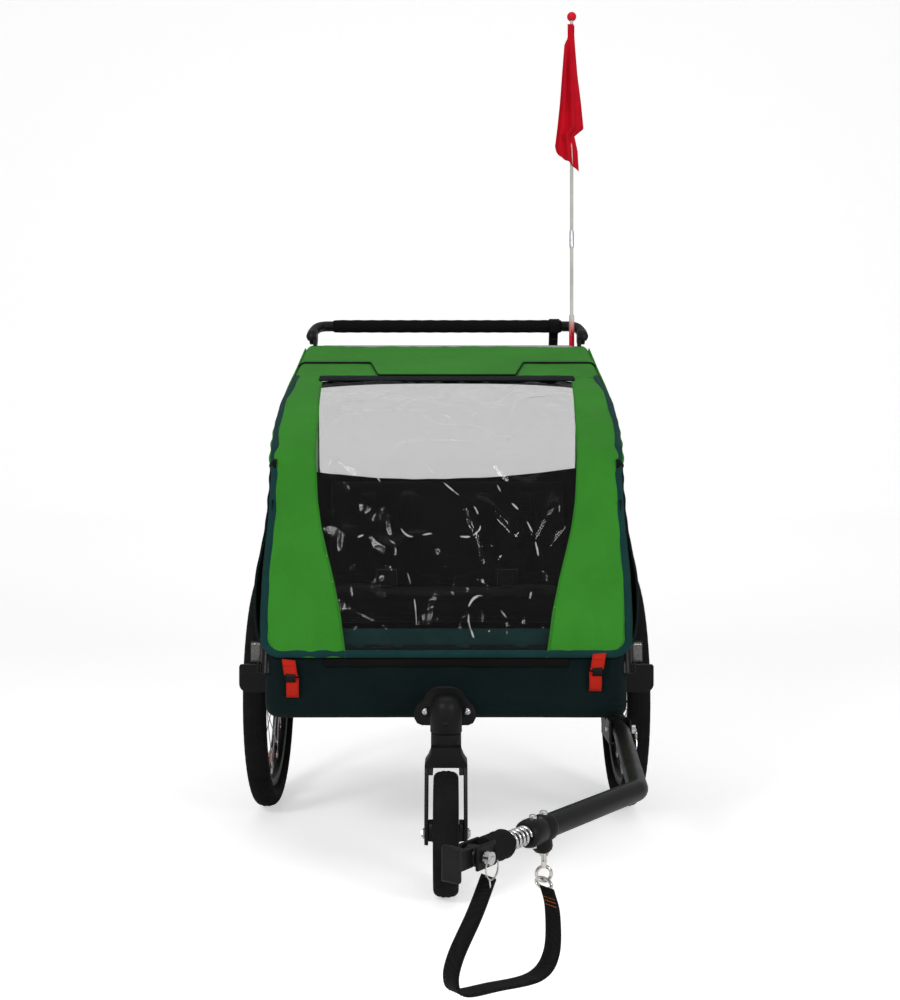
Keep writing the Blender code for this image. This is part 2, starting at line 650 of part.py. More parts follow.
def flag():
    axis = (FLAG_X, FLAG_Y)
    pole = z_cylinder("flag_pole", axis, 0.9330, 1.7850, 0.0040, "flag", FIBRE, 12)
    join(pole, ball("flag_ball", (*axis, 1.7880), (0.0110, 0.0110, 0.0110), "flag", 12))
    join(pole, z_cylinder("flag_collar", axis, 1.0000, 1.0800, 0.0062, "flag", sides=12))
    pennant = [  # x, z
        (0.2846, 1.768), (0.2846, 1.735), (0.2763, 1.7186), (0.2656, 1.574), (0.2547, 1.4768),
        (0.2573, 1.465), (0.2886, 1.4436), (0.3118, 1.420), (0.309, 1.4685), (0.3016, 1.5038),
        (0.3234, 1.5217), (0.2990, 1.768),
    ]
    prism("flag_pennant", pennant, FLAG_Y - 0.0060, 0.0008, "XZ", "flag", FLAG_RED)


def front_cover():
    """Fabric cover with one large opening, and the clear window just outside it."""
    group = "front_cover"
    side_sheet("front_cover", COVER_PATH, 0.318, 0.002, group, GREEN)
    cover = bpy.data.objects["front_cover"]
    cut(cover, box("window_hole", (-0.232, -0.520, 0.400), (0.232, -0.020, 0.960), group))
    outward = [(y - 0.0022, z + 0.0016) for y, z in COVER_PATH[1:8]]
    window_path = [(-0.4710, 0.3920), *outward, (-0.0130, 0.8922)]
    side_sheet("front_window", window_path, 0.240, 0.0010, group, VINYL)


# ---- wheels ------------------------------------------------------------------------------------
def spokes(name, centre, group):
    """All of a wheel's spokes as one mesh, leaning alternately either way from the hub flanges."""
    flange_x, flange_r, lead = 0.0155, 0.0195, 0.42  # lead: angle from rim end to hub end
    rim_r = RIM_INNER_R - 0.0008
    mesh = bpy.data.meshes.new(name)
    bm = bmesh.new()
    for k in range(SPOKE_COUNT):
        angle = math.tau * k / SPOKE_COUNT
        x = flange_x if k % 2 else -flange_x
        hub_angle = angle + (lead if k % 4 < 2 else -lead)
        inner = Vector((x, flange_r * math.cos(hub_angle), flange_r * math.sin(hub_angle)))
        outer = Vector((0, rim_r * math.cos(angle), rim_r * math.sin(angle)))
        axis = outer - inner
        turn = Vector((0, 0, 1)).rotation_difference(axis.normalized()).to_matrix().to_4x4()
        bmesh.ops.create_cone(
            bm, cap_ends=True, segments=6, radius1=SPOKE_R, radius2=SPOKE_R,
            depth=axis.length, matrix=Matrix.Translation((inner + outer) / 2) @ turn,
        )
    bm.to_mesh(mesh)
    bm.free()
    obj = in_scene(name, mesh)
    obj.location = centre
    return place(obj, name, group, STEEL)


def rear_wheel(s, side):
    group, centre = f"{side}_wheel", (s * HALF_TRACK, 0, WHEEL_R)
    # Profiles: radius, distance along the axle
    half_tyre = [
        (RIM_OUTER_R + 0.0006, 0.0100), (0.2220, 0.0200), (0.2340, WHEEL_W / 2),
        (0.2430, 0.0170), (0.2485, 0.0090), (WHEEL_R, 0.0),
    ]
    turned(f"{side}_tyre", mirrored(half_tyre), centre, group, RUBBER, 40)
    edge = RIM_W / 2
    rim = [
        (RIM_OUTER_R, edge), (RIM_OUTER_R, -edge), (0.2010, -edge),
        (RIM_INNER_R, -0.0070), (RIM_INNER_R, 0.0070), (0.2010, edge),
    ]
    turned(f"{side}_rim", rim, centre, group, BLACK_PAINT, 40)
    hub_profile = [
        (0, 0.0240), (0.0085, 0.0240), (0.0095, 0.0180), (0.0240, 0.0175), (0.0240, 0.0140),
        (0.0110, 0.0120), (0.0110, -0.0120), (0.0240, -0.0140), (0.0240, -0.0170),
        (0.0100, -0.0175), (0.0100, -0.0200), (0, -0.0200),
    ]
    outward = (0, s * math.pi / 2, 0)
    hub = turned(f"{side}_hub", hub_profile, centre, group, STEEL, 24, outward)
    join(hub, spokes(f"{side}_spokes", centre, group))
    stub = (s * 0.3200, s * 0.3700, (0, WHEEL_R), 0.0060)
    join(hub, x_cylinder(f"{side}_axle_stub", *stub, group, sides=16))


def front_fork():
    profile = [  # stem and neck: radius, z
        (0, 0.2900), (0.0090, 0.2900), (0.0090, 0.2550), (0.0248, 0.2550), (0.0255, 0.2300),
        (0.0290, 0.2080), (0, 0.2080),
    ]
    at = (0, SWIVEL_Y, 0)
    fork = turned("front_fork", profile, at, "fork", BLACK_PLASTIC, 24, lean=(0, 0, 0))
    low, high = (-0.0330, -0.6230, 0.2040), (0.0330, -0.5600, 0.2240)
    join(fork, box("fork_crown", low, high, "fork", bevel=0.004))
    blade = [  # y, z
        (-0.6220, 0.2200), (-0.5640, 0.2200), (-0.5850, 0.1700), (-0.6230, 0.1000),
        (-0.6280, 0.0880), (-0.6520, 0.0880), (-0.6570, 0.1000), (-0.6480, 0.1600),
    ]
    for s, side in SIDES:
        join(fork, prism(f"fork_blade_{side}", blade, s * 0.0296, 0.0034, "YZ", "fork"))
    hole = x_cylinder("fork_axle_hole", -0.05, 0.05, FRONT_AXLE, 0.0046, "fork", sides=16)
    cut(fork, hole)


def front_wheel():
    group, centre = "front_wheel", (0, *FRONT_AXLE)
    # Half profiles: radius, distance along the axle
    half_tyre = [
        (0.0745, 0.0140), (0.0840, 0.0205), (0.0930, 0.0200), (0.0985, 0.0110),
        (FRONT_WHEEL_R, 0.0),
    ]
    turned("front_tyre", mirrored(half_tyre), centre, group, RUBBER)
    half_core = [
        (0, 0.0220), (0.0130, 0.0220), (0.0150, 0.0060), (0.0620, 0.0060), (0.0640, 0.0150),
        (0.0740, 0.0150),
    ]
    core = turned("front_wheel_core", mirrored(half_core), centre, group, BLACK_PLASTIC, 24)
    join(core, x_cylinder("front_axle", -0.0390, 0.0390, FRONT_AXLE, 0.0040, group, STEEL, 12))


# ---- tow bar and hitch -------------------------------------------------------------------------
def tow_cylinder(name, start, end, radius, group, mat=None, sides=24):
    """A cylinder along the tow bar between two distances past the bend."""
    return cylinder(name, tow_point(start), tow_point(end), radius, group, mat, sides)


def hitch_cylinder(name, start, end, radius, group, mat=None, sides=16):
    """A cylinder across the hitch on its pitch joint's axis."""
    ends = (tow_point(PITCH_DISTANCE, start), tow_point(PITCH_DISTANCE, end))
    return cylinder(name, *ends, radius, group, mat, sides)


def hitch_block(name, half_size, distance, group, across=0.0, bevel=0.0):
    """A block square to the tow bar; half_size is across the bar, along it, and up."""
    half_size = Vector(half_size)
    block = box(name, -half_size, half_size, group, bevel=bevel)
    block.rotation_euler = (0, 0, math.atan2(TOW_ACROSS.y, TOW_ACROSS.x))
    block.location = tow_point(distance, across) - pivot_of(group)
    return block


def drawbar():
    """Bent tow bar, the sleeve on its tip and the spring ahead of that."""
    group = "drawbar"
    tail, neck = (TOW_X, TOW_Y + 0.012, TOW_Z), (TOW_X, TOW_Y - 0.030, TOW_Z)
    path = rounded([tail, neck, BEND, tow_point(0.286)], 0.060, 6)
    bar = tube("drawbar", path, TOW_TUBE_R, group, BLACK_PAINT, resolution=3)
    hole = (0.2700, 0.3300, (TOW_Y, TOW_Z), TOW_HOLE_R)
    cut(bar, x_cylinder("drawbar_hole", *hole, group, sides=16))
    sleeve = tow_cylinder("coupling_sleeve", 0.243, 0.2920, 0.0220, group, BLACK_PLASTIC)
    cut(sleeve, tow_cylinder("sleeve_bore", 0.230, 0.2870, 0.0151, group))
    tow_cylinder("hitch_spring", 0.2925, 0.3310, 0.0115, group, STEEL, 16)


def hitch():
    """Yoke with two ears, the plate between them and the pin through both."""
    yoke = tow_cylinder("hitch_yoke", 0.3385, 0.3780, 0.0200, "yoke", BLACK_PLASTIC)
    for s, name in ((1, "yoke_ear_a"), (-1, "yoke_ear_b")):
        join(yoke, hitch_block(name, (0.0024, 0.0210, 0.0150), 0.3930, "yoke", s * 0.0112))
    cut(yoke, hitch_cylinder("yoke_hole", -0.03, 0.03, HITCH_HOLE_R, "yoke"))

    plate = hitch_cylinder("hitch_plate", -0.0082, 0.0082, 0.0130, "plate", STEEL, 20)
    for name, half_size, ahead, bevel in (
        ("hitch_link", (0.0078, 0.0120, 0.0110), 0.0090, 0.0),
        ("hitch_tongue", (0.0060, 0.0190, 0.0210), 0.0290, 0.002),
    ):
        distance = PITCH_DISTANCE + ahead
        join(plate, hitch_block(name, half_size, distance, "plate", bevel=bevel))
    cut(plate, hitch_cylinder("plate_hole", -0.03, 0.03, HITCH_HOLE_R, "plate"))

    pin = hitch_cylinder("hitch_pin", -0.0190, 0.0230, 0.0038, "hitch_pin", STEEL, 14)
    join(pin, hitch_cylinder("hitch_pin_head", 0.0165, 0.0240, 0.0075, "hitch_pin", sides=18))


def safety_strap():
    """Hanging webbing strap, and the snap hook with its trigger."""
    path = [  # x, y, z
        (0.0450, -1.2950, 0.2200), (0.0248, -1.3400, 0.1900), (0.0053, -1.3700, 0.1530),
        (0.0021, -1.3800, 0.1340), (0.0117, -1.3700, 0.1180), (0.0470, -1.3300, 0.1100),
        (0.1000, -1.2900, 0.1060), (0.1200, -1.2650, 0.1240), (0.1240, -1.2300, 0.1600),
        (0.1205, -1.1950, 0.1780),
    ]
    group, axis = "drawbar", (SNAP_X, SNAP_Y)
    sheet("safety_strap", path, 0.0125, 0.002, group, WEBBING, across=(0.62, -0.78, 0.0))
    hook = upright_ring("snap_hook", (*axis, 0.1900), 0.0090, 0.0022, group, STEEL)
    join(hook, z_cylinder("snap_shank", axis, 0.1975, 0.2150, 0.0034, group, sides=12))
    join(hook, upright_ring("snap_eye", (*axis, 0.2158), 0.0046, 0.0018, group))
    low = (SNAP_X - 0.0022, SNAP_Y - 0.0078, 0.1995)
    high = (SNAP_X + 0.0022, SNAP_Y - 0.0038, 0.2065)
    box("snap_trigger", low, high, "trigger", STEEL)


# ---- build -------------------------------------------------------------------------------------
add_pivots()
for build in (
    base_frame, axle_beam, tub, seat, wheel_guards, swivel_bracket, tow_receiver, frame_hinges,
    cabin_skin, rear_hoop, flag_socket, roof_frame, front_uprights, handlebar, wrist_strap, flag,
    front_cover, front_fork, front_wheel, drawbar, hitch, safety_strap,
):
    build()
for s, side in SIDES:
    rear_wheel(s, side)

for obj in PARTS.objects:
    if obj.type == "MESH":
        for polygon in obj.data.polygons:
            polygon.use_smooth = False
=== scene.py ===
"""Looks of a child bicycle trailer: fabric, clear windows, webbing, wheels, hitch and flag.

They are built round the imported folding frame. Metres; +Z is up, the tow side (front) faces -Y and
the trailer's left is +X. place() takes Y from the rear axle. A sheet function turns u, v, which run
from 0 to 1 along the sheet's two directions, into a point.
"""
import math

import bmesh
import bpy
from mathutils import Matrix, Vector, noise

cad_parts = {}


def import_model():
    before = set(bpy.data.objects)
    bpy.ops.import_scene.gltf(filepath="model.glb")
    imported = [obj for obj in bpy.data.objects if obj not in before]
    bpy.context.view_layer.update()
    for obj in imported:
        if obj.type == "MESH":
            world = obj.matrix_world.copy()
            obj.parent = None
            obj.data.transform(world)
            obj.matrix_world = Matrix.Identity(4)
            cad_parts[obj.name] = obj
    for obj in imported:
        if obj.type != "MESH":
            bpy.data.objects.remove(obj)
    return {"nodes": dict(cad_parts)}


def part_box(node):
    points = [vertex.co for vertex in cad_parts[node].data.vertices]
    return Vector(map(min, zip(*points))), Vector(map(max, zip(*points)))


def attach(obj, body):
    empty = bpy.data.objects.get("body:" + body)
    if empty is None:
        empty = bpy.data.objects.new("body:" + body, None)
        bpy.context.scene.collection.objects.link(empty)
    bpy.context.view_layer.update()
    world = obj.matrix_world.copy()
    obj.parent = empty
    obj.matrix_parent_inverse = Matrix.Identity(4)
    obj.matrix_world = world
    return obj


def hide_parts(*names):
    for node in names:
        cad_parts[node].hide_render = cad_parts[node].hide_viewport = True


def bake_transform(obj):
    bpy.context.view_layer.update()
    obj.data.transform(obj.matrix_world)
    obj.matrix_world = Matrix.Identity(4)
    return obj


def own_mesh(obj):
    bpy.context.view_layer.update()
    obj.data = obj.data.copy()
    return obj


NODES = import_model()["nodes"]
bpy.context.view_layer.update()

beam_low, beam_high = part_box("axle_beam")
AXLE_Y = (beam_low.y + beam_high.y) / 2
SIDES = ((1, "left"), (-1, "right"))  # sign of X, name
UP = Vector((0, 0, 1))
SHARP_ANGLE = math.radians(38)
HEM_Z = 0.366  # lower edge of the front cover
VISOR_Z = 0.905  # upper edge of the front cover
TRACK_HALF = 0.3730
WHEEL_RADIUS = 0.2500
FRONT_WHEEL_RADIUS = 0.1000
STEER_Y = -0.590  # axis the fork swivels on
FRONT_AXLE_Y = -0.640
SEAT_X = 0.131  # middle of each seat


# ---- numbers and paths ----
def place(x, y, z):
    return Vector((x, y + AXLE_Y, z))


def lerp(a, b, share):
    return a + (b - a) * share


def spread(a, b, steps):
    """steps + 1 even values from a to b."""
    return [lerp(a, b, k / steps) for k in range(steps + 1)]


def circle(steps):
    """Even angles once round."""
    return [math.tau * k / steps for k in range(steps)]


def ease(share):
    share = max(0.0, min(1.0, share))
    return share * share * (3 - 2 * share)


def interp(table, x):
    """Piecewise linear value from rows (x, value) in rising x."""
    if x <= table[0][0]:
        return table[0][1]
    for (x0, a), (x1, b) in zip(table, table[1:]):
        if x <= x1:
            return a + (b - a) * (x - x0) / (x1 - x0)
    return table[-1][1]


def ripple(x, y, z, scale, seed):
    """Smooth noise for wrinkles."""
    shift = (seed, -seed * 0.7, seed * 1.3)
    return noise.noise(Vector((x * scale + shift[0], y * scale + shift[1], z * scale + shift[2])))


def squircle(angle, power):
    """Cosine and sine pushed out to a rounded square."""
    cosine, sine = math.cos(angle), math.sin(angle)
    stretch = (abs(cosine) ** power + abs(sine) ** power) ** (-1 / power)
    return cosine * stretch, sine * stretch


def smooth_path(points, steps):
    """A Catmull-Rom path of steps + 1 points, evenly spaced in length."""
    ends = [points[0] * 2 - points[1], *points, points[-1] * 2 - points[-2]]
    fine = []
    for p0, p1, p2, p3 in zip(ends, ends[1:], ends[2:], ends[3:]):
        for k in range(16):
            t = k / 16
            square = 2 * p0 - 5 * p1 + 4 * p2 - p3
            cube = 3 * p1 - p0 - 3 * p2 + p3
            fine.append(0.5 * ((2 * p1) + (p2 - p0) * t + square * t * t + cube * t**3))
    fine.append(points[-1])
    lengths = [0.0]
    for a, b in zip(fine, fine[1:]):
        lengths.append(lengths[-1] + (b - a).length)
    out, j = [], 0
    for k in range(steps + 1):
        want = lengths[-1] * k / steps
        while j < len(lengths) - 2 and lengths[j + 1] < want:
            j += 1
        span = lengths[j + 1] - lengths[j]
        share = 0 if span < 1e-12 else (want - lengths[j]) / span
        out.append(fine[j].lerp(fine[j + 1], share))
    return out


def path_at(path, share):
    step = max(0.0, min(1.0, share)) * (len(path) - 1)
    i = min(len(path) - 2, int(step))
    return path[i].lerp(path[i + 1], step - i)


def walk(points, share):
    """The segment a share of the length along a polyline, and the share along that segment."""
    pairs = list(zip(points, points[1:]))
    want = share * sum(math.dist(a, b) for a, b in pairs)
    for a, b in pairs:
        span = math.dist(a, b)
        if want <= span:
            return a, b, want / span
        want -= span
    return points[-2], points[-1], 1.0


# ---- shader tools ----
def new_material(name):
    material = bpy.data.materials.new(name)
    material.use_nodes = True
    tree = material.node_tree
    return material, tree, tree.nodes["Principled BSDF"]


def set_inputs(target, values):
    for key, value in values.items():
        target.inputs[key].default_value = value


def add_node(tree, kind, inputs, **settings):
    made = tree.nodes.new(kind)
    for key, value in settings.items():
        setattr(made, key, value)
    set_inputs(made, inputs)
    return made


def link_coords(tree, socket):
    tree.links.new(tree.nodes.new("ShaderNodeTexCoord").outputs["Object"], socket)


def math_node(tree, operation, *values):
    made = add_node(tree, "ShaderNodeMath", {}, operation=operation)
    for socket, value in zip(made.inputs, values):
        if isinstance(value, float):
            socket.default_value = value
        else:
            tree.links.new(value, socket)
    return made.outputs[0]


def weave_height(tree, period, warp=(1, 1, 0), weft=(0, 0.35, 1)):
    """Over-and-under height of a plain weave in object space."""
    waves = []
    for direction in (warp, weft):
        dot = add_node(tree, "ShaderNodeVectorMath", {}, operation="DOT_PRODUCT")
        link_coords(tree, dot.inputs[0])
        dot.inputs[1].default_value = direction
        turns = math_node(tree, "MULTIPLY", dot.outputs["Value"], math.tau / period)
        waves.append(math_node(tree, "SINE", turns))
    return math_node(tree, "MULTIPLY", *waves)


def bump(tree, shader, height, strength, distance, below=None):
    made = add_node(tree, "ShaderNodeBump", {"Strength": strength, "Distance": distance})
    tree.links.new(height, made.inputs["Height"])
    if below is not None:
        tree.links.new(below, made.inputs["Normal"])
    tree.links.new(made.outputs["Normal"], shader.inputs["Normal"])
    return made.outputs["Normal"]


def clouds(tree, scale, detail, rough, stretch=None):
    inputs = {"Scale": scale, "Detail": detail, "Roughness": rough}
    made = add_node(tree, "ShaderNodeTexNoise", inputs)
    socket = made.inputs["Vector"]
    if stretch:
        mapping = add_node(tree, "ShaderNodeMapping", {"Scale": stretch})
        tree.links.new(mapping.outputs["Vector"], socket)
        socket = mapping.inputs["Vector"]
    link_coords(tree, socket)
    return made.outputs["Fac"]


def cells(tree, scale, **settings):
    made = add_node(tree, "ShaderNodeTexVoronoi", {"Scale": scale}, **settings)
    link_coords(tree, made.inputs["Vector"])
    return made.outputs["Distance"]


def ramp(tree, factor, stops, socket):
    """Two colour stops (position, colour) from a factor into a socket."""
    made = tree.nodes.new("ShaderNodeValToRGB")
    for element, (position, colour) in zip(made.color_ramp.elements, stops):
        element.position = position
        element.color = (*colour, 1.0)
    tree.links.new(factor, made.inputs["Fac"])
    tree.links.new(made.outputs["Color"], socket)


def scaled(colour, factor):
    return tuple(min(1.0, value * factor) for value in colour)


def grey(value):
    return (value,) * 3


# ---- materials ----
def fabric(name, colour, period, rough, sheen, weave, vary, coarse):
    material, tree, shader = new_material(name)
    mix = add_node(tree, "ShaderNodeMix", {}, data_type="RGBA", blend_type="MULTIPLY")
    mix.inputs[0].default_value = 0.55  # how far the threads darken the cloth
    cloud = clouds(tree, scale=coarse, detail=5.0, rough=0.6)
    stops = [(0.30, scaled(colour, 1 - vary)), (0.70, scaled(colour, 1 + vary))]
    ramp(tree, cloud, stops, mix.inputs[6])
    height = weave_height(tree, period)
    ramp(tree, height, [(0.0, grey(0.80)), (1.0, grey(1.0))], mix.inputs[7])
    tree.links.new(mix.outputs[2], shader.inputs["Base Color"])
    set_inputs(shader, {
        "Roughness": rough, "Sheen Weight": sheen, "Sheen Roughness": 0.45,
        "Specular IOR Level": 0.10,
    })
    folds = clouds(tree, scale=17.0, detail=3.0, rough=0.5)
    crease = bump(tree, shader, folds, strength=0.55, distance=0.008)
    bump(tree, shader, height, strength=weave, distance=0.00035, below=crease)
    return material


def webbing(name, colour, period):
    material, tree, shader = new_material(name)
    height = weave_height(tree, period, warp=(0.7, 0.7, 0.0), weft=(0, 0, 1))
    stops = [(0.0, scaled(colour, 0.55)), (1.0, scaled(colour, 1.35))]
    ramp(tree, height, stops, shader.inputs["Base Color"])
    set_inputs(shader, {"Roughness": 0.75, "Sheen Weight": 0.03, "Specular IOR Level": 0.10})
    bump(tree, shader, height, strength=0.6, distance=0.0005)
    return material


def plastic(name, colour, rough, grain, grain_bump):
    material, tree, shader = new_material(name)
    cloud = clouds(tree, scale=14.0, detail=4.0, rough=0.6)
    stops = [(0.3, scaled(colour, 0.85)), (0.7, scaled(colour, 1.25))]
    ramp(tree, cloud, stops, shader.inputs["Base Color"])
    wear = clouds(tree, scale=30.0, detail=5.0, rough=0.65)
    stops = [(0.25, grey(rough - 0.07)), (0.75, grey(rough + 0.10))]
    ramp(tree, wear, stops, shader.inputs["Roughness"])
    set_inputs(shader, {"Specular IOR Level": 0.16})
    bump(tree, shader, cells(tree, grain), strength=grain_bump, distance=0.0002)
    return material


def rubber(name, colour):
    material, tree, shader = new_material(name)
    dust = clouds(tree, scale=18.0, detail=6.0, rough=0.7)
    ramp(tree, dust, [(0.35, colour), (0.75, scaled(colour, 2.1))], shader.inputs["Base Color"])
    set_inputs(shader, {"Roughness": 0.8, "Specular IOR Level": 0.08})
    grain = clouds(tree, scale=700.0, detail=2.0, rough=0.5)
    bump(tree, shader, grain, strength=0.25, distance=0.0003)
    return material


def foam(name, colour):
    material, tree, shader = new_material(name)
    pores = cells(tree, scale=520.0)
    stops = [(0.0, scaled(colour, 0.5)), (0.6, scaled(colour, 1.5))]
    ramp(tree, pores, stops, shader.inputs["Base Color"])
    set_inputs(shader, {"Roughness": 0.93, "Specular IOR Level": 0.04})
    bump(tree, shader, pores, strength=0.5, distance=0.0006)
    return material


def metal(name, colour, rough, brushed, metallic):
    material, tree, shader = new_material(name)
    grain = clouds(tree, scale=160.0, detail=4.0, rough=0.6, stretch=brushed)
    stops = [(0.3, scaled(colour, 0.82)), (0.7, scaled(colour, 1.08))]
    ramp(tree, grain, stops, shader.inputs["Base Color"])
    stops = [(0.3, grey(rough * 0.75)), (0.7, grey(rough * 1.35))]
    ramp(tree, grain, stops, shader.inputs["Roughness"])
    set_inputs(shader, {"Metallic": metallic})
    bump(tree, shader, grain, strength=0.08, distance=0.0003)
    return material


def coated(name, colour, rough):
    """Powder coat: fine orange peel, with lighter, rougher worn patches."""
    material, tree, shader = new_material(name)
    rub = clouds(tree, scale=9.0, detail=6.0, rough=0.7)
    ramp(tree, rub, [(0.35, colour), (0.80, scaled(colour, 2.4))], shader.inputs["Base Color"])
    stops = [(0.30, grey(rough)), (0.80, grey(rough + 0.22))]
    ramp(tree, rub, stops, shader.inputs["Roughness"])
    set_inputs(shader, {"Specular IOR Level": 0.16, "Coat Weight": 0.04, "Coat Roughness": 0.18})
    peel = clouds(tree, scale=420.0, detail=2.0, rough=0.5)
    bump(tree, shader, peel, strength=0.10, distance=0.0003)
    return material


def clear_film(name, tint, rough, alpha):
    """Clear vinyl: mostly see-through, with a wrinkled glossy skin."""
    material, tree, shader = new_material(name)
    set_inputs(shader, {
        "Base Color": (tint, tint * 1.005, tint * 1.01, 1), "Roughness": rough, "Alpha": alpha,
        "Specular IOR Level": 0.55, "Coat Weight": 0.12, "Coat Roughness": 0.02,
    })
    waves = clouds(tree, scale=16.0, detail=3.0, rough=0.55)
    big = bump(tree, shader, waves, strength=0.55, distance=0.010)
    wrinkles = clouds(tree, scale=48.0, detail=3.0, rough=0.6, stretch=(1.0, 1.0, 0.45))
    small = bump(tree, shader, wrinkles, strength=0.42, distance=0.0040, below=big)
    tree.links.new(small, shader.inputs["Coat Normal"])
    return material


def reflector(name, colour):
    material, tree, shader = new_material(name)
    prisms = cells(tree, scale=330.0, feature="F1", distance="MANHATTAN")
    stops = [(0.0, scaled(colour, 1.9)), (0.5, scaled(colour, 0.7))]
    ramp(tree, prisms, stops, shader.inputs["Base Color"])
    set_inputs(shader, {
        "Roughness": 0.10, "Coat Weight": 1.0, "Coat Roughness": 0.03, "Metallic": 0.35,
    })
    bump(tree, shader, prisms, strength=0.5, distance=0.0008)
    return material


# Each builder's rows: key, material name, colour, then the columns noted above them.
MATERIAL_TABLES = {
    # thread period, roughness, sheen, weave bump, colour variation, cloud scale
    fabric: [
        ("green", "green_fabric", (0.038, 0.245, 0.022), 0.0012, 0.80, 0.035, 0.30, 0.10, 6.0),
        ("teal", "teal_binding", (0.0065, 0.042, 0.042), 0.0010, 0.85, 0.05, 0.45, 0.14, 20.0),
        ("tub", "dark_tub_fabric", (0.0036, 0.0110, 0.0112), 0.0014, 0.88, 0.03, 0.45, 0.20, 9.0),
        ("seat", "seat_fabric", grey(0.0075), 0.0016, 0.92, 0.03, 0.45, 0.25, 10.0),
        ("black_cloth", "black_cloth", grey(0.0055), 0.0011, 0.90, 0.02, 0.4, 0.2, 12.0),
        ("flag", "flag_red", (0.56, 0.002, 0.014), 0.0010, 0.70, 0.03, 0.25, 0.14, 16.0),
        ("window", "window_binding", (0.004, 0.010, 0.010), 0.0012, 0.90, 0.03, 0.5, 0.15, 20.0),
    ],
    # thread period
    webbing: [
        ("web", "black_webbing", (0.0060, 0.0060, 0.0064), 0.0018),
        ("red_web", "orange_red_webbing", (0.70, 0.024, 0.010), 0.0022),
        ("thread", "pale_thread", (0.020, 0.090, 0.070), 0.0010),
        ("orange_thread", "orange_thread", (0.75, 0.20, 0.03), 0.0010),
    ],
    # roughness, grain scale, grain bump
    plastic: [
        ("plastic", "black_plastic", (0.0055, 0.0055, 0.0056), 0.42, 900.0, 0.12),
        ("flag_plastic", "flag_red_plastic", (0.62, 0.006, 0.022), 0.35, 400.0, 0.05),
        ("pole", "pole_fibreglass", (0.50, 0.52, 0.47), 0.40, 300.0, 0.06),
    ],
    # roughness, stretch of the brushed grain, metallic
    metal: [
        ("steel", "bright_steel", (0.66, 0.66, 0.67), 0.22, (1, 1, 6), 1.0),
        ("nickel", "nickel_plate", (0.72, 0.69, 0.64), 0.18, (1, 1, 1), 1.0),
        ("alu", "frame_aluminium", (0.60, 0.61, 0.62), 0.36, (1, 1, 12), 0.95),
    ],
    # (a tint in place of the colour) roughness, alpha
    clear_film: [
        ("vinyl", "clear_vinyl", 0.004, 0.03, 0.165),
        ("vinyl_rear", "clear_vinyl_rear", 0.30, 0.12, 0.15),
        # the crease row is near-white: a painted highlight, laid in strips on the window film's
        # folds
        ("crease", "vinyl_crease", 0.80, 0.10, 0.62),
    ],
    reflector: [
        ("reflector", "reflector_grey", (0.16, 0.15, 0.14)),
        ("amber", "reflector_amber", (0.80, 0.16, 0.01)),
    ],
    foam: [("foam", "foam_rubber", grey(0.0055))],
    rubber: [("rubber", "tyre_rubber", (0.0056, 0.0056, 0.0058))],
    # roughness
    coated: [("coat", "black_powder_coat", (0.0050, 0.0050, 0.0052), 0.32)],
}
MAT = {key: build(*row) for build, rows in MATERIAL_TABLES.items() for key, *row in rows}


# ---- mesh tools ----
def add_object(name, mesh, material):
    mesh.materials.append(material)
    made = bpy.data.objects.new(name, mesh)
    bpy.context.scene.collection.objects.link(made)
    mesh.shade_smooth()
    mesh.set_sharp_from_angle(angle=SHARP_ANGLE)
    return made


def make(name, verts, faces, material):
    mesh = bpy.data.meshes.new(name)
    mesh.from_pydata([tuple(vert) for vert in verts], [], faces)
    mesh.validate()
    work = bmesh.new()
    work.from_mesh(mesh)
    bmesh.ops.recalc_face_normals(work, faces=work.faces)
    work.to_mesh(mesh)
    work.free()
    return add_object(name, mesh, material)


def sheet(name, point, across, along, material, thick=0.0014, loop=False):
    """A sheet from a function of u, v, with real cloth thickness; loop joins its u ends."""
    width = across if loop else across + 1
    verts = [point(i / across, j / along) for j in range(along + 1) for i in range(width)]
    faces = []
    for j in range(along):
        for i in range(across):
            a, b = j * width + i, j * width + (i + 1) % width
            faces.append((a, b, b + width, a + width))
    made = make(name, verts, faces, material)
    cloth = made.modifiers.new("cloth", "SOLIDIFY")
    cloth.thickness = thick
    cloth.offset = 0.0
    cloth.use_even_offset = False
    return made


def ring_faces(rings, size, closed=False, start=0):
    """Quads between rings of equal size, capped unless the rings close on themselves."""
    faces = []
    for i in range(rings if closed else rings - 1):
        a, b = start + i * size, start + (i + 1) % rings * size
        for k in range(size):
            after = (k + 1) % size
            faces.append((a + k, a + after, b + after, b + k))
    if not closed:
        last = start + (rings - 1) * size
        faces += [tuple(range(start, start + size)), tuple(range(last, last + size))]
    return faces


def loft(name, rings, material, closed=False):
    verts = [point for ring in rings for point in ring]
    return make(name, verts, ring_faces(len(rings), len(rings[0]), closed), material)


def tube_rings(points, radii, sides, closed=False):
    """Circles along a path, on normals that don't twist."""
    count, rings, normal = len(points), [], None
    for i in range(count):
        a = points[i - 1] if (i > 0 or closed) else points[i]
        b = points[(i + 1) % count] if (i < count - 1 or closed) else points[i]
        tangent = (b - a).normalized()
        if normal is None:
            up = UP if abs(tangent.z) < 0.9 else Vector((1, 0, 0))
            normal = (up - tangent * up.dot(tangent)).normalized()
        normal = (normal - tangent * normal.dot(tangent)).normalized()
        other = tangent.cross(normal)
        rings.append([
            points[i] + (normal * math.cos(angle) + other * math.sin(angle)) * radii[i]
            for angle in circle(sides)
        ])
    return rings


def tube(name, points, radius, material, sides=10, closed=False):
    """radius is one value, or a list with one for each point."""
    radii = radius if isinstance(radius, list) else [radius] * len(points)
    return loft(name, tube_rings(points, radii, sides, closed), material, closed)


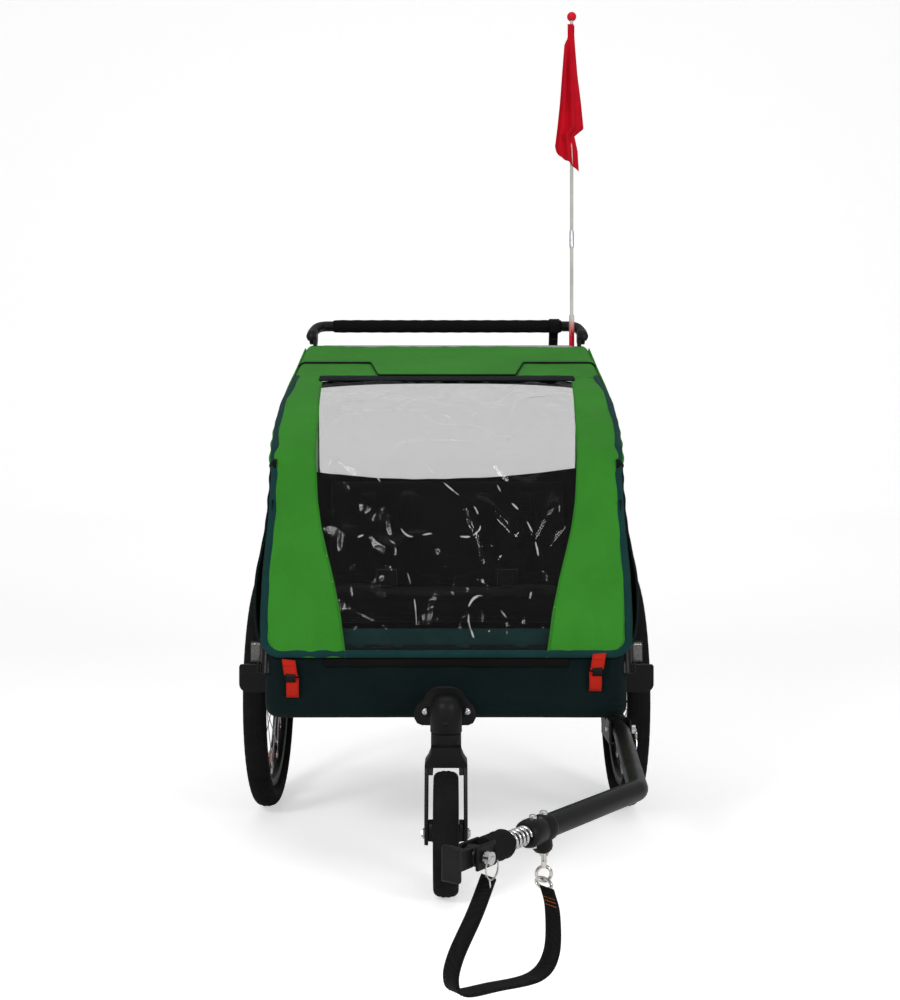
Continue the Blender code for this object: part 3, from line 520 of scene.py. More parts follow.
def tubes(name, paths, radius, material, sides):
    """Many short tubes as one piece, such as a row of stitches or a wheel's spokes."""
    verts, faces = [], []
    for points in paths:
        faces += ring_faces(len(points), sides, start=len(verts))
        for ring in tube_rings(points, [radius] * len(points), sides):
            verts += ring
    return make(name, verts, faces, material)


def stitches(name, points, material, pitch=0.0065, length=0.0036, radius=0.0004):
    total = sum((b - a).length for a, b in zip(points, points[1:]))
    count = max(2, int(total / pitch))
    fine = smooth_path(points, count * 2)
    share = min(1.0, length / pitch * 2)
    paths = [[a, a.lerp(b, share)] for a, b in zip(fine[0:-1:2], fine[1::2])]
    return tubes(name, paths, radius, material, 5)


def turned(name, profile, at, axis, material, steps=40):
    """Profile of (radius, distance along axis), spun round the axis through at."""
    axis = Vector(axis).normalized()
    side = (UP if abs(axis.z) < 0.9 else Vector((1, 0, 0))).cross(axis).normalized()
    other = axis.cross(side)
    verts, faces, rows = [], [], []
    for radius, distance in profile:
        middle = at + axis * distance
        if radius < 1e-7:
            rows.append([len(verts)] * steps)
            verts.append(middle)
        else:
            rows.append(range(len(verts), len(verts) + steps))
            for angle in circle(steps):
                verts.append(middle + (side * math.cos(angle) + other * math.sin(angle)) * radius)
    for low, high in zip(rows, rows[1:]):
        for k in range(steps):
            after = (k + 1) % steps
            # a repeated corner on the axis is dropped
            face = tuple(dict.fromkeys((low[k], low[after], high[after], high[k])))
            if len(face) > 2:
                faces.append(face)
    return make(name, verts, faces, material)


def ribbon(name, points, across, width, material, thick=0.0016, steps=40):
    """A webbing band along a path, its width along the direction across."""
    path = smooth_path(points, steps)
    across = Vector(across).normalized()

    def band(u, v):
        return path[min(steps, int(round(v * steps)))] + across * (width * (u - 0.5))

    return sheet(name, band, 4, steps, material, thick)


def block(name, low, high, material, bevel):
    work = bmesh.new()
    bmesh.ops.create_cube(work, size=1.0)
    bmesh.ops.scale(work, vec=high - low, verts=work.verts)
    bmesh.ops.bevel(
        work, geom=work.edges[:], offset=bevel, segments=3, profile=0.6, affect="EDGES"
    )
    bmesh.ops.translate(work, vec=(low + high) / 2, verts=work.verts)
    mesh = bpy.data.meshes.new(name)
    work.to_mesh(mesh)
    work.free()
    return add_object(name, mesh, material)


def soft_edges(piece, width=0.0012, segments=2, angle=None):
    """A bevel modifier, limited to edges sharper than angle where one is given."""
    bevel = piece.modifiers.new("soft_edges", "BEVEL")
    bevel.width = width
    bevel.segments = segments
    if angle is not None:
        bevel.limit_method = "ANGLE"
        bevel.angle_limit = angle
    return piece


def mirrored(half):
    """A closed outline from its +X half, whose first and last points lie on the middle."""
    return half + [(-x, z) for x, z in reversed(half[1:-1])]


def sewn(piece, slot, *replaces, body="chassis", keep=0.16):
    """A soft piece: it rides on a body."""
    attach(piece, body)
    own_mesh(piece)
    if replaces:
        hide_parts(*replaces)


def rigid(piece, body, slot, *replaces):
    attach(piece, body)
    if replaces:
        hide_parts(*replaces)


def flexible(piece, slot, start, end, *replaces):
    """A piece that lies between the drawbar, at start, and the hitch yoke, at end; its mesh is
    baked in place.
    """
    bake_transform(piece)
    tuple(start)
    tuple(end)
    if replaces:
        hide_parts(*replaces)


# ---- front cover ----
# (y, z) of the cover's middle line, hem to visor
COVER_LINE = [
    (-0.476, 0.366), (-0.466, 0.420), (-0.444, 0.490), (-0.412, 0.570), (-0.380, 0.645),
    (-0.352, 0.706), (-0.318, 0.741), (-0.240, 0.789), (-0.150, 0.836), (-0.060, 0.873),
    (0.026, 0.905),
]
COVER_Y = [(z, y) for y, z in COVER_LINE]
# (z, half width) of the window and of the whole cover
WINDOW_HALF = [
    (0.366, 0.177), (0.440, 0.188), (0.500, 0.202), (0.560, 0.219), (0.590, 0.227),
    (0.640, 0.236), (0.720, 0.243), (0.800, 0.251), (0.905, 0.266),
]
EDGE_HALF = [
    (0.366, 0.3250), (0.431, 0.3285), (0.517, 0.3280), (0.606, 0.3240), (0.690, 0.3235),
    (0.712, 0.3270), (0.782, 0.3320), (0.843, 0.3340), (0.905, 0.3260), (0.950, 0.3250),
    (1.003, 0.3300),
]
CORNER = 0.036  # radius of the cover's lower corners
CORNER_Z = HEM_Z + CORNER
WINDOW_SEAM = 0.0005  # overlap of wing and window
TOP_BAND_HALF = 0.2700
cover_path = smooth_path([place(0, y, z) for y, z in COVER_LINE], 64)


def cover_normal(k):
    """Outward normal of the cover at a step of its path."""
    tangent = cover_path[min(len(cover_path) - 1, k + 1)] - cover_path[max(0, k - 1)]
    tangent.normalize()
    return Vector((0, -tangent.z, tangent.y))


def nearest_step(z):
    return min(range(len(cover_path)), key=lambda k: abs(cover_path[k].z - z))


def cover_point(v, x_at, lift=0.0):
    """Point and normal of the cover: v runs hem to visor, and x_at gives x from the height."""
    point = path_at(cover_path, v)
    normal = cover_normal(int(round(v * (len(cover_path) - 1))))
    x = x_at(point.z)
    point += normal * lift
    point.x = x
    return point, normal


def edge_half(z):
    return interp(EDGE_HALF, z)


def window_half(z):
    return interp(WINDOW_HALF, z)


def rounded_half(z):
    """The cover's half width, with its lower corners rounded off."""
    if z >= CORNER_Z:
        return edge_half(z)
    drop = CORNER_Z - z
    return edge_half(z) - CORNER + math.sqrt(max(0.0, CORNER**2 - drop * drop))


def cover_y(z):
    return interp(COVER_Y, z)


def on_front(x, z, lift):
    return place(x, cover_y(z), z) + cover_normal(nearest_step(z)) * lift


# (x, z) round half the cover: down the side, round the corner, in along the hem
OUTLINE = [(edge_half(z), z) for z in spread(VISOR_Z, CORNER_Z, 70)]
OUTLINE += [
    (edge_half(CORNER_Z) - CORNER + CORNER * math.cos(angle), CORNER_Z - CORNER * math.sin(angle))
    for angle in spread(0, math.pi / 2, 14)[1:]
]
OUTLINE += [(x, HEM_Z) for x in spread(0.288, 0.0, 30)[1:]]


def wing_lift(point):
    """Wrinkles that radiate from the bend at mid height and hang along the wings."""
    x, y, z = point
    side = 1 if x > 0 else -1
    lift = 0.0034 * ripple(x, y, z, 9.0, 3.1 * side) + 0.0022 * ripple(x * 2.2, y, z, 19.0, 7.7)
    pull = math.exp(-(((abs(x) - 0.30) / 0.10) ** 2) - ((z - 0.70) / 0.13) ** 2)
    lift += 0.0022 * pull * math.sin((z - 0.70) * 95 + abs(x) * 60)
    low = math.exp(-((z - 0.40) / 0.06) ** 2)
    lift += 0.0020 * low * math.sin(x * 120 + 3 * ripple(x, 0, z, 8, 1))
    return max(-0.0028, lift)


def cover_side(sign, side):
    """One side's wing, its edge binding, stitching and rolled window edge."""
    def window_edge(z):
        return sign * (window_half(z) - WINDOW_SEAM)

    def wing(u, v):
        def x_at(z):
            return lerp(window_edge(z), sign * (rounded_half(max(z, 0.3665)) - 0.006), u)

        point, normal = cover_point(v, x_at)
        fade = math.sin(math.pi * u) ** 0.5 if 0 < u < 1 else 0.0
        crown = 0.004 * math.sin(math.pi * u) * (0.3 + 0.7 * math.sin(math.pi * v))
        return point + normal * (wing_lift(point) * fade + crown + 0.0008)

    def binding(u, v):
        step = v * (len(OUTLINE) - 1)
        i = min(len(OUTLINE) - 2, int(step))
        (x0, z0), (x1, z1) = OUTLINE[i], OUTLINE[i + 1]
        x, z = lerp(x0, x1, step - i), lerp(z0, z1, step - i)
        (x0, z0), (x1, z1) = OUTLINE[max(0, i - 1)], OUTLINE[min(len(OUTLINE) - 1, i + 2)]
        tangent = Vector((x1 - x0, z1 - z0)).normalized()
        width = lerp(0.0140, 0.0120, ease((0.42 - z) / 0.04))
        inward = Vector((tangent.y, -tangent.x)) * width * u
        x, z = x + inward.x, max(0.3655, z + inward.y)
        roll = 0.0030 * (1 - (2 * u - 1) ** 2) - 0.0050 * ease((0.25 - u) / 0.25) * (z > 0.40)
        return on_front(sign * x, z, 0.0012 + roll + 0.0004 * ripple(x * 3, z, v, 30, 2))

    def stitch_x(z):
        return sign * (rounded_half(max(z, 0.372)) - 0.0160)

    cloth = sheet(f"cover_wing_{side}", wing, 28, 120, MAT["green"])
    sewn(cloth, "green_fabric", body="front_cover")
    edging = sheet(f"cover_binding_{side}", binding, 8, 230, MAT["teal"], 0.0016)
    sewn(edging, "dark_fabric", body="front_cover")
    line = [cover_point(k / 60, stitch_x, 0.0014)[0] for k in range(61)]
    seam = stitches(f"cover_stitch_outer_{side}", line, MAT["thread"])
    sewn(seam, "dark_fabric", body="front_cover")
    line = [cover_point(k / 80, window_edge, 0.0020)[0] for k in range(81)]
    rolled = tube(f"window_rolled_edge_{side}", smooth_path(line, 110), 0.0012, MAT["green"], 6)
    sewn(rolled, "green_fabric", body="front_cover")


for sign, side in SIDES:
    cover_side(sign, side)


def film_ridge(x, y, z):
    """Noise whose zero lines are the film's ridges."""
    return ripple(x * 1.3 + 0.3 * z, y, z * 0.8, 8.0, 21.0)


def pane(u, v):
    """The wrinkled front window film."""
    def x_at(z):
        half = window_half(z)
        return lerp(-half - 0.0035, half + 0.0035, u)

    point, normal = cover_point(v * 0.985 + 0.005, x_at)
    x, y, z = point
    edge_fade = min(1.0, 14 * u, 14 * (1 - u), 12 * v + 0.1, 12 * (1 - v))
    lift = 0.0070 * ripple(x, y, z, 5.5, 4.0) + 0.0034 * ripple(x * 1.5, y, z, 15.0, 9.0)
    lift += 0.0040 * (1 - min(1.0, abs(film_ridge(x, y, z)) * 9))
    lift -= 0.0020 * (1 - min(1.0, abs(ripple(x, 0, z, 11.0, 33.0)) * 10))
    low = math.exp(-((z - 0.40) / 0.05) ** 2)
    lift += 0.0022 * low * math.sin(x * 95 + 4 * ripple(x, 0, z, 10, 5))
    return point + normal * (0.0012 + lift * edge_fade)


def hem_shadow_strip(u, v):
    """A black cloth strip between the cover and the tub: painted shade standing in for the shadow
    gap under the hem.
    """
    x, z = lerp(-0.214, 0.214, u), lerp(0.3495, HEM_Z, v)
    y = -0.4722 - 0.0016 * math.sin(math.pi * v) + 0.0008 * ripple(x, 0, z, 30, 2)
    return place(x, y, z)


def lower_band(u, v):
    """The dark band behind the window's lower edge, wrinkled along its length."""
    z = 0.3820 + 0.0330 * v
    half = window_half(z) + 0.002
    x = lerp(-half, half, u)
    swell = math.sin(math.pi * min(1, v + 0.2))
    wave = 0.0035 * math.sin(x * 85 + 5 * ripple(x, 0, z, 6, 2)) * swell
    wave += 0.002 * ripple(x, 0, z, 30, 6)
    return place(x, cover_y(z) + 0.0075 + wave, z)


def top_band(u, v):
    """The dark sleeve across the top of the window."""
    lift = 0.0030 + 0.0015 * math.sin(math.pi * v) + 0.0006 * ripple(u * 3, v, 0, 9, 2)
    x = lerp(-TOP_BAND_HALF, TOP_BAND_HALF, u)
    return cover_point(0.998 - 0.052 * v, lambda z: x, lift)[0]


film = sheet("front_window_film", pane, 150, 170, MAT["vinyl"], 0.0006)
sewn(film, "clear_vinyl", "front_cover", "front_window", body="front_cover")
# the black strip below the hem is painted shade for the gap above the tub
for piece in (
    sheet("hem_shadow_strip", hem_shadow_strip, 90, 5, MAT["black_cloth"], 0.0016),
    sheet("cover_lower_band", lower_band, 140, 8, MAT["teal"], 0.0012),
    sheet("window_top_band", top_band, 90, 6, MAT["window"]),
):
    sewn(piece, "dark_fabric", body="front_cover")

# ---- roof ----
ROOF_HALF = 0.3320
UNDERLAP_HALF = 0.3335
RAIL_X = 0.2910
# (y, z) front to rear
ROOF_SECTION = [
    (0.0, 0.9030), (0.020, 0.9100), (0.058, 0.9235), (0.090, 0.9345), (0.130, 0.9480),
    (0.155, 0.9560), (0.225, 0.9800), (0.280, 0.9980), (0.297, 1.0030), (0.309, 0.9990),
    (0.3150, 0.9860), (0.3175, 0.9650),
]
RAIL_LINE = [
    (0.2996, 0.9450), (0.2300, 0.9330), (0.1500, 0.9180), (0.0850, 0.8980), (0.0180, 0.8783),
]


def roof_front(x):
    """Y of the roof's front edge: the middle flap comes further forward over the window."""
    return lerp(0.020, 0.130, max(0.0, min(1.0, (abs(x) - 0.147) / 0.022)))


def roof_z(y):
    return interp(ROOF_SECTION, y)


def roof_droop(x, depth=0.013, reach=0.016):
    """How far the roof's side edges turn down."""
    return depth * max(0.0, (abs(x) - 0.316) / reach) ** 2


def roof_cloth(u, v):
    x = lerp(-ROOF_HALF, ROOF_HALF, u)
    front = roof_front(x)
    points = [Vector((0, front, roof_z(front)))]
    points += [Vector((0, y, z)) for y, z in ROOF_SECTION if y > front + 0.004]
    a, b, share = walk(points, v)
    point = a.lerp(b, share)
    sag = 0.0035 * math.sin(math.pi * min(1, v * 1.15)) * math.cos(x * math.pi / 0.66) ** 2
    wave = 0.0016 * ripple(x, point.y, 0, 9, 12) + 0.0010 * ripple(x * 2, point.y, 0, 24, 15)
    return place(x, point.y, point.z - roof_droop(x) - sag + wave)


def roof_underlap(u, v):
    x, y = lerp(-UNDERLAP_HALF, UNDERLAP_HALF, u), lerp(0.012, 0.155, v)
    droop = roof_droop(x, depth=0.020, reach=0.0175)
    return place(x, y, roof_z(y) - 0.0045 - droop + 0.0008 * ripple(u * 4, v, 0, 5, 3))


cloth = sheet("roof_cloth", roof_cloth, 166, 60, MAT["green"], 0.0015)
sewn(cloth, "green_fabric", "roof_cover")
cloth = sheet("roof_underlap", roof_underlap, 160, 16, MAT["green"], 0.0012)
sewn(cloth, "green_fabric")

visor_edge = [
    place(x, roof_front(x) - 0.0008, roof_z(roof_front(x)) - 0.0010 - roof_droop(x))
    for x in spread(-ROOF_HALF, ROOF_HALF, 166)
]
sewn(tube("visor_binding", visor_edge, 0.0015, MAT["black_cloth"], 8), "dark_fabric")
line = [point + Vector((0, 0.007, 0.0042)) for point in visor_edge[4:-4]]
sewn(stitches("visor_stitch", line, MAT["thread"]), "dark_fabric")
rail = smooth_path([place(RAIL_X, y, z) for y, z in RAIL_LINE], 30)
for sign, side in SIDES:
    line = [Vector((sign * x, y, z)) for x, y, z in rail]
    replaced = ("roof_frame",) if sign > 0 else ()
    piece = tube(f"roof_rail_{side}", line, 0.0110, MAT["alu"], 20)
    rigid(piece, "roof_frame", "frame_aluminium", *replaced)
line = [
    place(x, 0.0300, lerp(0.8975, 0.8860, (abs(x) / RAIL_X) ** 3))
    for x in spread(-RAIL_X, RAIL_X, 12)
]
bow = tube("roof_bow_bar", smooth_path(line, 40), 0.0065, MAT["coat"], 14)
rigid(bow, "roof_frame", "frame_aluminium")
rear_seam = [place(x, 0.3035, 1.0020 - roof_droop(x)) for x in spread(-0.328, 0.328, 60)]
sewn(tube("roof_rear_piping", rear_seam, 0.0016, MAT["teal"], 8), "dark_fabric")


# ---- side panels ----
def yz_path(points, steps):
    return smooth_path([Vector((0, y, z)) for y, z in points], steps)


# (y, z) of each edge: front and rear run upwards, top and lower run to the rear
FRONT_EDGE = yz_path([
    (-0.471, 0.390), (-0.460, 0.440), (-0.437, 0.505), (-0.408, 0.575), (-0.378, 0.642),
    (-0.346, 0.709),
], 40)
TOP_EDGE = yz_path([
    (-0.346, 0.709), (-0.314, 0.739), (-0.236, 0.786), (-0.148, 0.832), (-0.058, 0.869),
    (0.026, 0.900), (0.090, 0.922), (0.155, 0.946), (0.225, 0.972), (0.285, 0.994),
], 80)
REAR_EDGE = yz_path([
    (0.352, 0.398), (0.347, 0.500), (0.338, 0.650), (0.325, 0.800), (0.312, 0.920),
    (0.285, 0.994),
], 40)
LOW_EDGE = yz_path([
    (-0.471, 0.390), (-0.380, 0.394), (-0.220, 0.400), (0.0, 0.404), (0.200, 0.403),
    (0.352, 0.398),
], 80)


def side_yz(u, v):
    """A Coons patch between the four edges."""
    point = path_at(LOW_EDGE, u) * (1 - v) + path_at(TOP_EDGE, u) * v
    point += path_at(FRONT_EDGE, v) * (1 - u) + path_at(REAR_EDGE, v) * u
    low = LOW_EDGE[0] * (1 - u) * (1 - v) + LOW_EDGE[-1] * u * (1 - v)
    return point - (low + TOP_EDGE[0] * (1 - u) * v + TOP_EDGE[-1] * u * v)


def side_x(y, z, u, v):
    x = lerp(edge_half(z), 0.3310, ease(u * 2.2))
    x += 0.019 * math.exp(-(((y + 0.385) / 0.085) ** 2) - ((z - 0.462) / 0.085) ** 2)
    full = math.sin(math.pi * u) * math.sin(math.pi * min(1, max(0, v)))
    x += 0.0045 * full * (0.4 + 0.6 * ease((z - 0.52) / 0.1))
    wave = 0.0022 * ripple(0, y, z, 8, 2) + 0.0012 * ripple(0, y, z, 21, 5)
    x += wave * min(1, 4 * full + 0.15)
    pull = math.exp(-(((y + 0.30) / 0.12) ** 2) - ((z - 0.68) / 0.12) ** 2)
    x += 0.0016 * pull * math.sin((z + y * 0.7) * 120)
    return x - 0.004 * math.exp(-((v / 0.03) ** 2))


def side_panel(sign, side):
    """One side's cloth with its hem, edge piping and vent."""
    def point(u, v, lift=0.0):
        _, y, z = side_yz(u, v)
        return place(sign * (side_x(y, z, u, v) + lift), y, z)

    def hem(u, v):
        return point(u, v * 0.034 - 0.006, 0.0022 - 0.0012 * abs(2 * v - 1))

    def vent(u, v):
        """A dark panel with a rounded outline over the middle of the side."""
        a, b = 2 * u - 1, 2 * v - 1
        round_u, round_v = math.sqrt(1 - 0.5 * b * b), math.sqrt(1 - 0.5 * a * a)
        return point(0.50 + 0.235 * a * round_u, 0.645 + 0.190 * b * round_v, 0.0017)

    cloth = sheet(f"side_cloth_{side}", point, 120, 70, MAT["green"])
    sewn(cloth, "green_fabric", f"side_panel_{side}")
    sewn(sheet(f"side_hem_{side}", hem, 110, 4, MAT["teal"]), "dark_fabric")
    line = [point(k / 90, 1.0, 0.0002) + Vector((0, 0, 0.0008)) for k in range(91)]
    sewn(tube(f"side_top_piping_{side}", line, 0.0019, MAT["green"], 8), "green_fabric")
    line = [point(0.0, k / 50, 0.0006) for k in range(51)]
    sewn(tube(f"side_front_zip_{side}", line, 0.0022, MAT["window"], 8), "dark_fabric")
    line = [point(1.0, k / 50, 0.0006) for k in range(51)]
    sewn(tube(f"side_rear_piping_{side}", line, 0.0019, MAT["teal"], 8), "dark_fabric")
    cloth = sheet(f"side_vent_{side}", vent, 44, 34, MAT["black_cloth"], 0.0008)
    sewn(cloth, "dark_fabric")
    rim = []
    for angle in circle(72):
        cosine, sine = math.cos(angle), math.sin(angle)
        reach = max(abs(cosine), abs(sine))
        rim.append(vent(0.5 + 0.5 * cosine / reach, 0.5 + 0.5 * sine / reach))
    binding = tube(f"side_vent_binding_{side}", rim, 0.0024, MAT["teal"], 8, closed=True)
    sewn(binding, "dark_fabric")
    line = [point(k / 80, 0.040, 0.0012) for k in range(2, 79)]
    sewn(stitches(f"side_hem_stitch_{side}", line, MAT["thread"]), "dark_fabric")


for sign, side in SIDES:
    side_panel(sign, side)

# ---- tub ----
TUB_HALF, TUB_FRONT, TUB_REAR, TUB_CORNER = 0.3205, -0.4675, 0.3790, 0.032
TUB_STEPS = 300
TUB_TURN = 0.22  # share of the wall that turns in under the floor
TUB_TURN_RADIUS = 0.022


def tub_outline(share, grow=0.0):
    """(x, y) on the tub's plan outline, share of the way round from the middle of its front."""
    half, front, rear = TUB_HALF + grow, TUB_FRONT - grow, TUB_REAR + grow
    x, radius = half - TUB_CORNER, TUB_CORNER
    loop = [(0.0, front), (x, front)]
    corners = [
        (x, front + radius, -90), (x, rear - radius, 0),
        (-x, rear - radius, 90), (-x, front + radius, 180),
    ]
    for middle_x, middle_y, start in corners:
        for k in range(9):
            angle = math.radians(start + 90 * k / 8)
            loop.append((middle_x + radius * math.cos(angle), middle_y + radius * math.sin(angle)))
    loop.append(loop[0])
    (x0, y0), (x1, y1), part = walk(loop, share)
    return lerp(x0, x1, part), lerp(y0, y1, part)


tub_plan = [tub_outline(k / TUB_STEPS) for k in range(TUB_STEPS)]


def tub_wall(u, v):
    x, y = tub_plan[int(round(u * TUB_STEPS)) % TUB_STEPS]
    top = lerp(0.4020, 0.3880, max(ease((-y - 0.40) / 0.05), ease((y - 0.33) / 0.04)))
    low = 0.2570 + 0.010 * math.exp(-((y / 0.05) ** 2)) * (abs(x) > 0.3)
    if v < TUB_TURN:
        angle = math.pi / 2 * (1 - v / TUB_TURN)
        inset = TUB_TURN_RADIUS * (1 - math.cos(angle))
        z = low + TUB_TURN_RADIUS * (1 - math.sin(angle))
    else:
        inset = 0.0
        z = lerp(low + TUB_TURN_RADIUS, top, (v - TUB_TURN) / (1 - TUB_TURN))
    outward = Vector((x * 0.9, y + 0.04, 0)).normalized()
    wave = 0.0028 * ripple(x, y, z, 11, 4) + 0.0018 * ripple(x * 1.2, y * 1.2, z * 0.5, 30, 9)
    gather = math.sin((x + y) * 75 + 6 * ripple(x, y, z, 7, 1))
    wave += 0.0016 * gather * ease((v - 0.25) / 0.4)
    bulge = 0.0028 * math.sin(math.pi * max(0, (v - 0.1) / 0.9))
    shift = inset - bulge - wave * (0.4 if v < TUB_TURN else 1.0)
    point = Vector((x, y, 0)) - outward * shift
    return place(point.x, point.y, z)


def tub_floor(u, v):
    z = 0.2588 + 0.0012 * ripple(u * 6, v * 7, 0, 1.5, 3)
    return place(lerp(-0.300, 0.300, u), lerp(-0.447, 0.358, v), z)


cloth = sheet("tub_cloth", tub_wall, TUB_STEPS, 26, MAT["tub"], 0.0016, loop=True)
sewn(cloth, "dark_fabric", "tub_shell", keep=0.75)
cloth = sheet("tub_floor_cloth", tub_floor, 50, 60, MAT["tub"], 0.0012)
sewn(cloth, "dark_fabric", keep=0.9)
tub_seam = []
for k in range(200):
    x, y = tub_outline(k / 200)
    rise = 0.006 * math.exp(-((y / 0.05) ** 2)) if abs(x) > 0.3 else 0
    tub_seam.append(place(*tub_outline(k / 200, grow=0.0008), 0.2830 + rise))
seam = tube("tub_seam", tub_seam, 0.0019, MAT["tub"], 6, closed=True)
sewn(seam, "dark_fabric", keep=0.75)

# ---- rear wall: cloth below, clear window above ----
REAR_LINE = [(0.36, 0.3625), (0.40, 0.3600), (0.70, 0.3390), (0.96, 0.3180), (1.0, 0.3150)]  # z, y
REAR_WIN_HALF, REAR_WIN_LOW, REAR_WIN_TOP = 0.307, 0.684, 0.968
REAR_SEAM_Z = 0.674


def on_rear(x, z, lift):
    return place(x, interp(REAR_LINE, z) + lift, z)


def rear_cloth(u, v):
    x, z = lerp(-0.3150, 0.3150, u), lerp(0.372, REAR_SEAM_Z, v)
    wave = 0.003 * ripple(x, 0, z, 9, 17) + 0.0015 * ripple(x, 0, z, 24, 19)
    return on_rear(x, z, 0.0060 + 0.006 * math.sin(math.pi * u) * math.sin(math.pi * v) + wave)


def rear_pane(u, v):
    half = REAR_WIN_HALF + 0.006
    x, z = lerp(-half, half, u), lerp(REAR_WIN_LOW - 0.006, REAR_WIN_TOP + 0.006, v)
    wave = 0.004 * ripple(x, 0, z, 7, 27) + 0.002 * ripple(x, 0, z, 18, 29)
    return on_rear(x, z, 0.0050 + wave * min(1, 10 * u, 10 * (1 - u), 8 * v, 8 * (1 - v)))


def rear_border(name, x0, x1, z0, z1):
    def border(u, v):
        lift = 0.0066 + 0.0012 * ripple(u * 3 + x0, 0, v * 3, 2, 4)
        return on_rear(lerp(x0, x1, u), lerp(z0, z1, v), lift)

    sewn(sheet(name, border, 40, 20, MAT["green"]), "green_fabric")


def rear_pocket(u, v):
    lift = 0.010 * math.sin(math.pi * u) ** 0.5 * math.sin(math.pi * (0.15 + 0.75 * v))
    lift += 0.0125 + 0.002 * ripple(u * 5, 0, v * 4, 2, 6)
    return on_rear(lerp(-0.21, 0.21, u), lerp(0.410, 0.585, v), lift)


cloth = sheet("rear_cloth", rear_cloth, 80, 50, MAT["green"])
sewn(cloth, "green_fabric", "rear_panel")
film = sheet("rear_window_film", rear_pane, 80, 44, MAT["vinyl_rear"], 0.0006)
sewn(film, "clear_vinyl", "rear_window")
# name, x from, x to, z from, z to
for border in (
    ("rear_border_low", -0.317, 0.317, 0.664, 0.688),
    ("rear_border_top", -0.312, 0.312, 0.964, 0.988),
    ("rear_border_left", 0.305, 0.318, 0.690, 0.968),
    ("rear_border_right", -0.318, -0.305, 0.690, 0.968),
):
    rear_border(*border)
line = []
for angle in circle(96):
    x, z = squircle(angle, 14)
    z = (REAR_WIN_LOW + REAR_WIN_TOP) / 2 + (REAR_WIN_TOP - REAR_WIN_LOW) / 2 * z
    line.append(on_rear(REAR_WIN_HALF * x, z, 0.0085))
piece = tube("rear_window_binding", line, 0.0024, MAT["teal"], 8, closed=True)
sewn(piece, "dark_fabric")
line = [on_rear(x, REAR_SEAM_Z, 0.0085) for x in spread(-0.314, 0.314, 40)]
sewn(tube("rear_cloth_seam", line, 0.0019, MAT["teal"], 8), "dark_fabric")
sewn(sheet("rear_pocket", rear_pocket, 60, 30, MAT["tub"]), "dark_fabric")
line = [rear_pocket(k / 50, 1.0) for k in range(51)]
sewn(tube("rear_pocket_binding", line, 0.0026, MAT["teal"], 8), "dark_fabric")

# ---- inside cloth ----
# (x, z) of the backrest's top, and (z, y) of its lean
BACK_TOP = [
    (-0.312, 0.7130), (-0.240, 0.7050), (-0.150, 0.6975), (-0.080, 0.6945), (0.0, 0.6965),
    (0.100, 0.6995), (0.200, 0.7085), (0.312, 0.7230),
]
BACK_LEAN = [(0.300, 0.150), (0.455, 0.165), (0.705, 0.2325), (0.730, 0.236)]


def add_lining(sign, side):
    def lining(u, v):
        y = lerp(-0.440, 0.300, u)
        z = lerp(0.296, lerp(0.640, 0.716, ease(u * 1.6)), v)
        if u < 0.05:  # the front edge stays behind the cover
            y = max(y, cover_y(z) + 0.030)
        return place(sign * (0.3160 + 0.0012 * ripple(y, z, sign, 12, 3)), y, z)

    cloth = sheet(f"lining_{side}", lining, 50, 30, MAT["black_cloth"], 0.0010)
    sewn(cloth, "seat_fabric")


def backrest_cloth(u, v):
    x = lerp(-0.3130, 0.3130, u)
    z = lerp(0.300, interp(BACK_TOP, x) - 0.0075, v)
    wave = 0.0030 * ripple(x, 0, z, 9, 31) * math.sin(math.pi * min(1, 2 * v))
    return place(x, interp(BACK_LEAN, z) + wave, z + 0.0010 * ripple(x, 0, 0, 30, 2))


def foot_mat(u, v):
    z = 0.2925 + 0.0010 * ripple(u * 6, v * 6, 0, 2, 8)
    return place(lerp(-0.285, 0.285, u), lerp(-0.430, 0.145, v), z)


def front_lining(u, v):
    y = -0.4480 + 0.002 * ripple(u * 5, 0, v, 3, 2)
    return place(lerp(-0.285, 0.285, u), y, lerp(0.292, 0.384, v))


for sign, side in SIDES:
    add_lining(sign, side)
cloth = sheet("backrest_cloth", backrest_cloth, 90, 40, MAT["black_cloth"], 0.0016)
sewn(cloth, "seat_fabric")
line = [backrest_cloth(k / 90, 1.0) for k in range(91)]
sewn(tube("backrest_hem", line, 0.0022, MAT["black_cloth"], 8), "seat_fabric")
cloth = sheet("foot_mat", foot_mat, 50, 50, MAT["seat"], 0.0010)
sewn(cloth, "seat_fabric", keep=0.9)
cloth = sheet("front_lining", front_lining, 60, 10, MAT["black_cloth"], 0.0010)
sewn(cloth, "seat_fabric", keep=0.75)


# ---- near-white fold strips in the window: a painted highlight on the film's ridges ----
# Each starts from an even spread over the window and settles on one of the film's ridges.
def ridge(x, z):
    return film_ridge(x, cover_y(z), z)


def ridge_slope(x, z, gap=0.0015):
    slope_x = (ridge(x + gap, z) - ridge(x - gap, z)) / (2 * gap)
    return Vector((slope_x, (ridge(x, z + gap) - ridge(x, z - gap)) / (2 * gap)))


def ridge_fold(x, z, length):
    """Five points (x, z) along the ridge nearest to x, z, or nothing where no ridge is near."""
    start = Vector((x, z))
    point = start.copy()
    for _ in range(8):
        slope = ridge_slope(*point)
        step = slope * (-ridge(*point) / max(1e-6, slope.length_squared))
        point += step if step.length < 0.008 else step.normalized() * 0.008
    if abs(ridge(*point)) > 0.02 or (point - start).length > 0.045:
        return []
    line = [point]
    for _ in range(4):
        slope = ridge_slope(*point)
        point = point + Vector((-slope.y, slope.x)).normalized() * (length / 4)
        line.append(point)
    inside = all(0.395 < z < 0.870 and abs(x) < window_half(z) - 0.014 for x, z in line)
    return [(x, z) for x, z in line] if inside else []
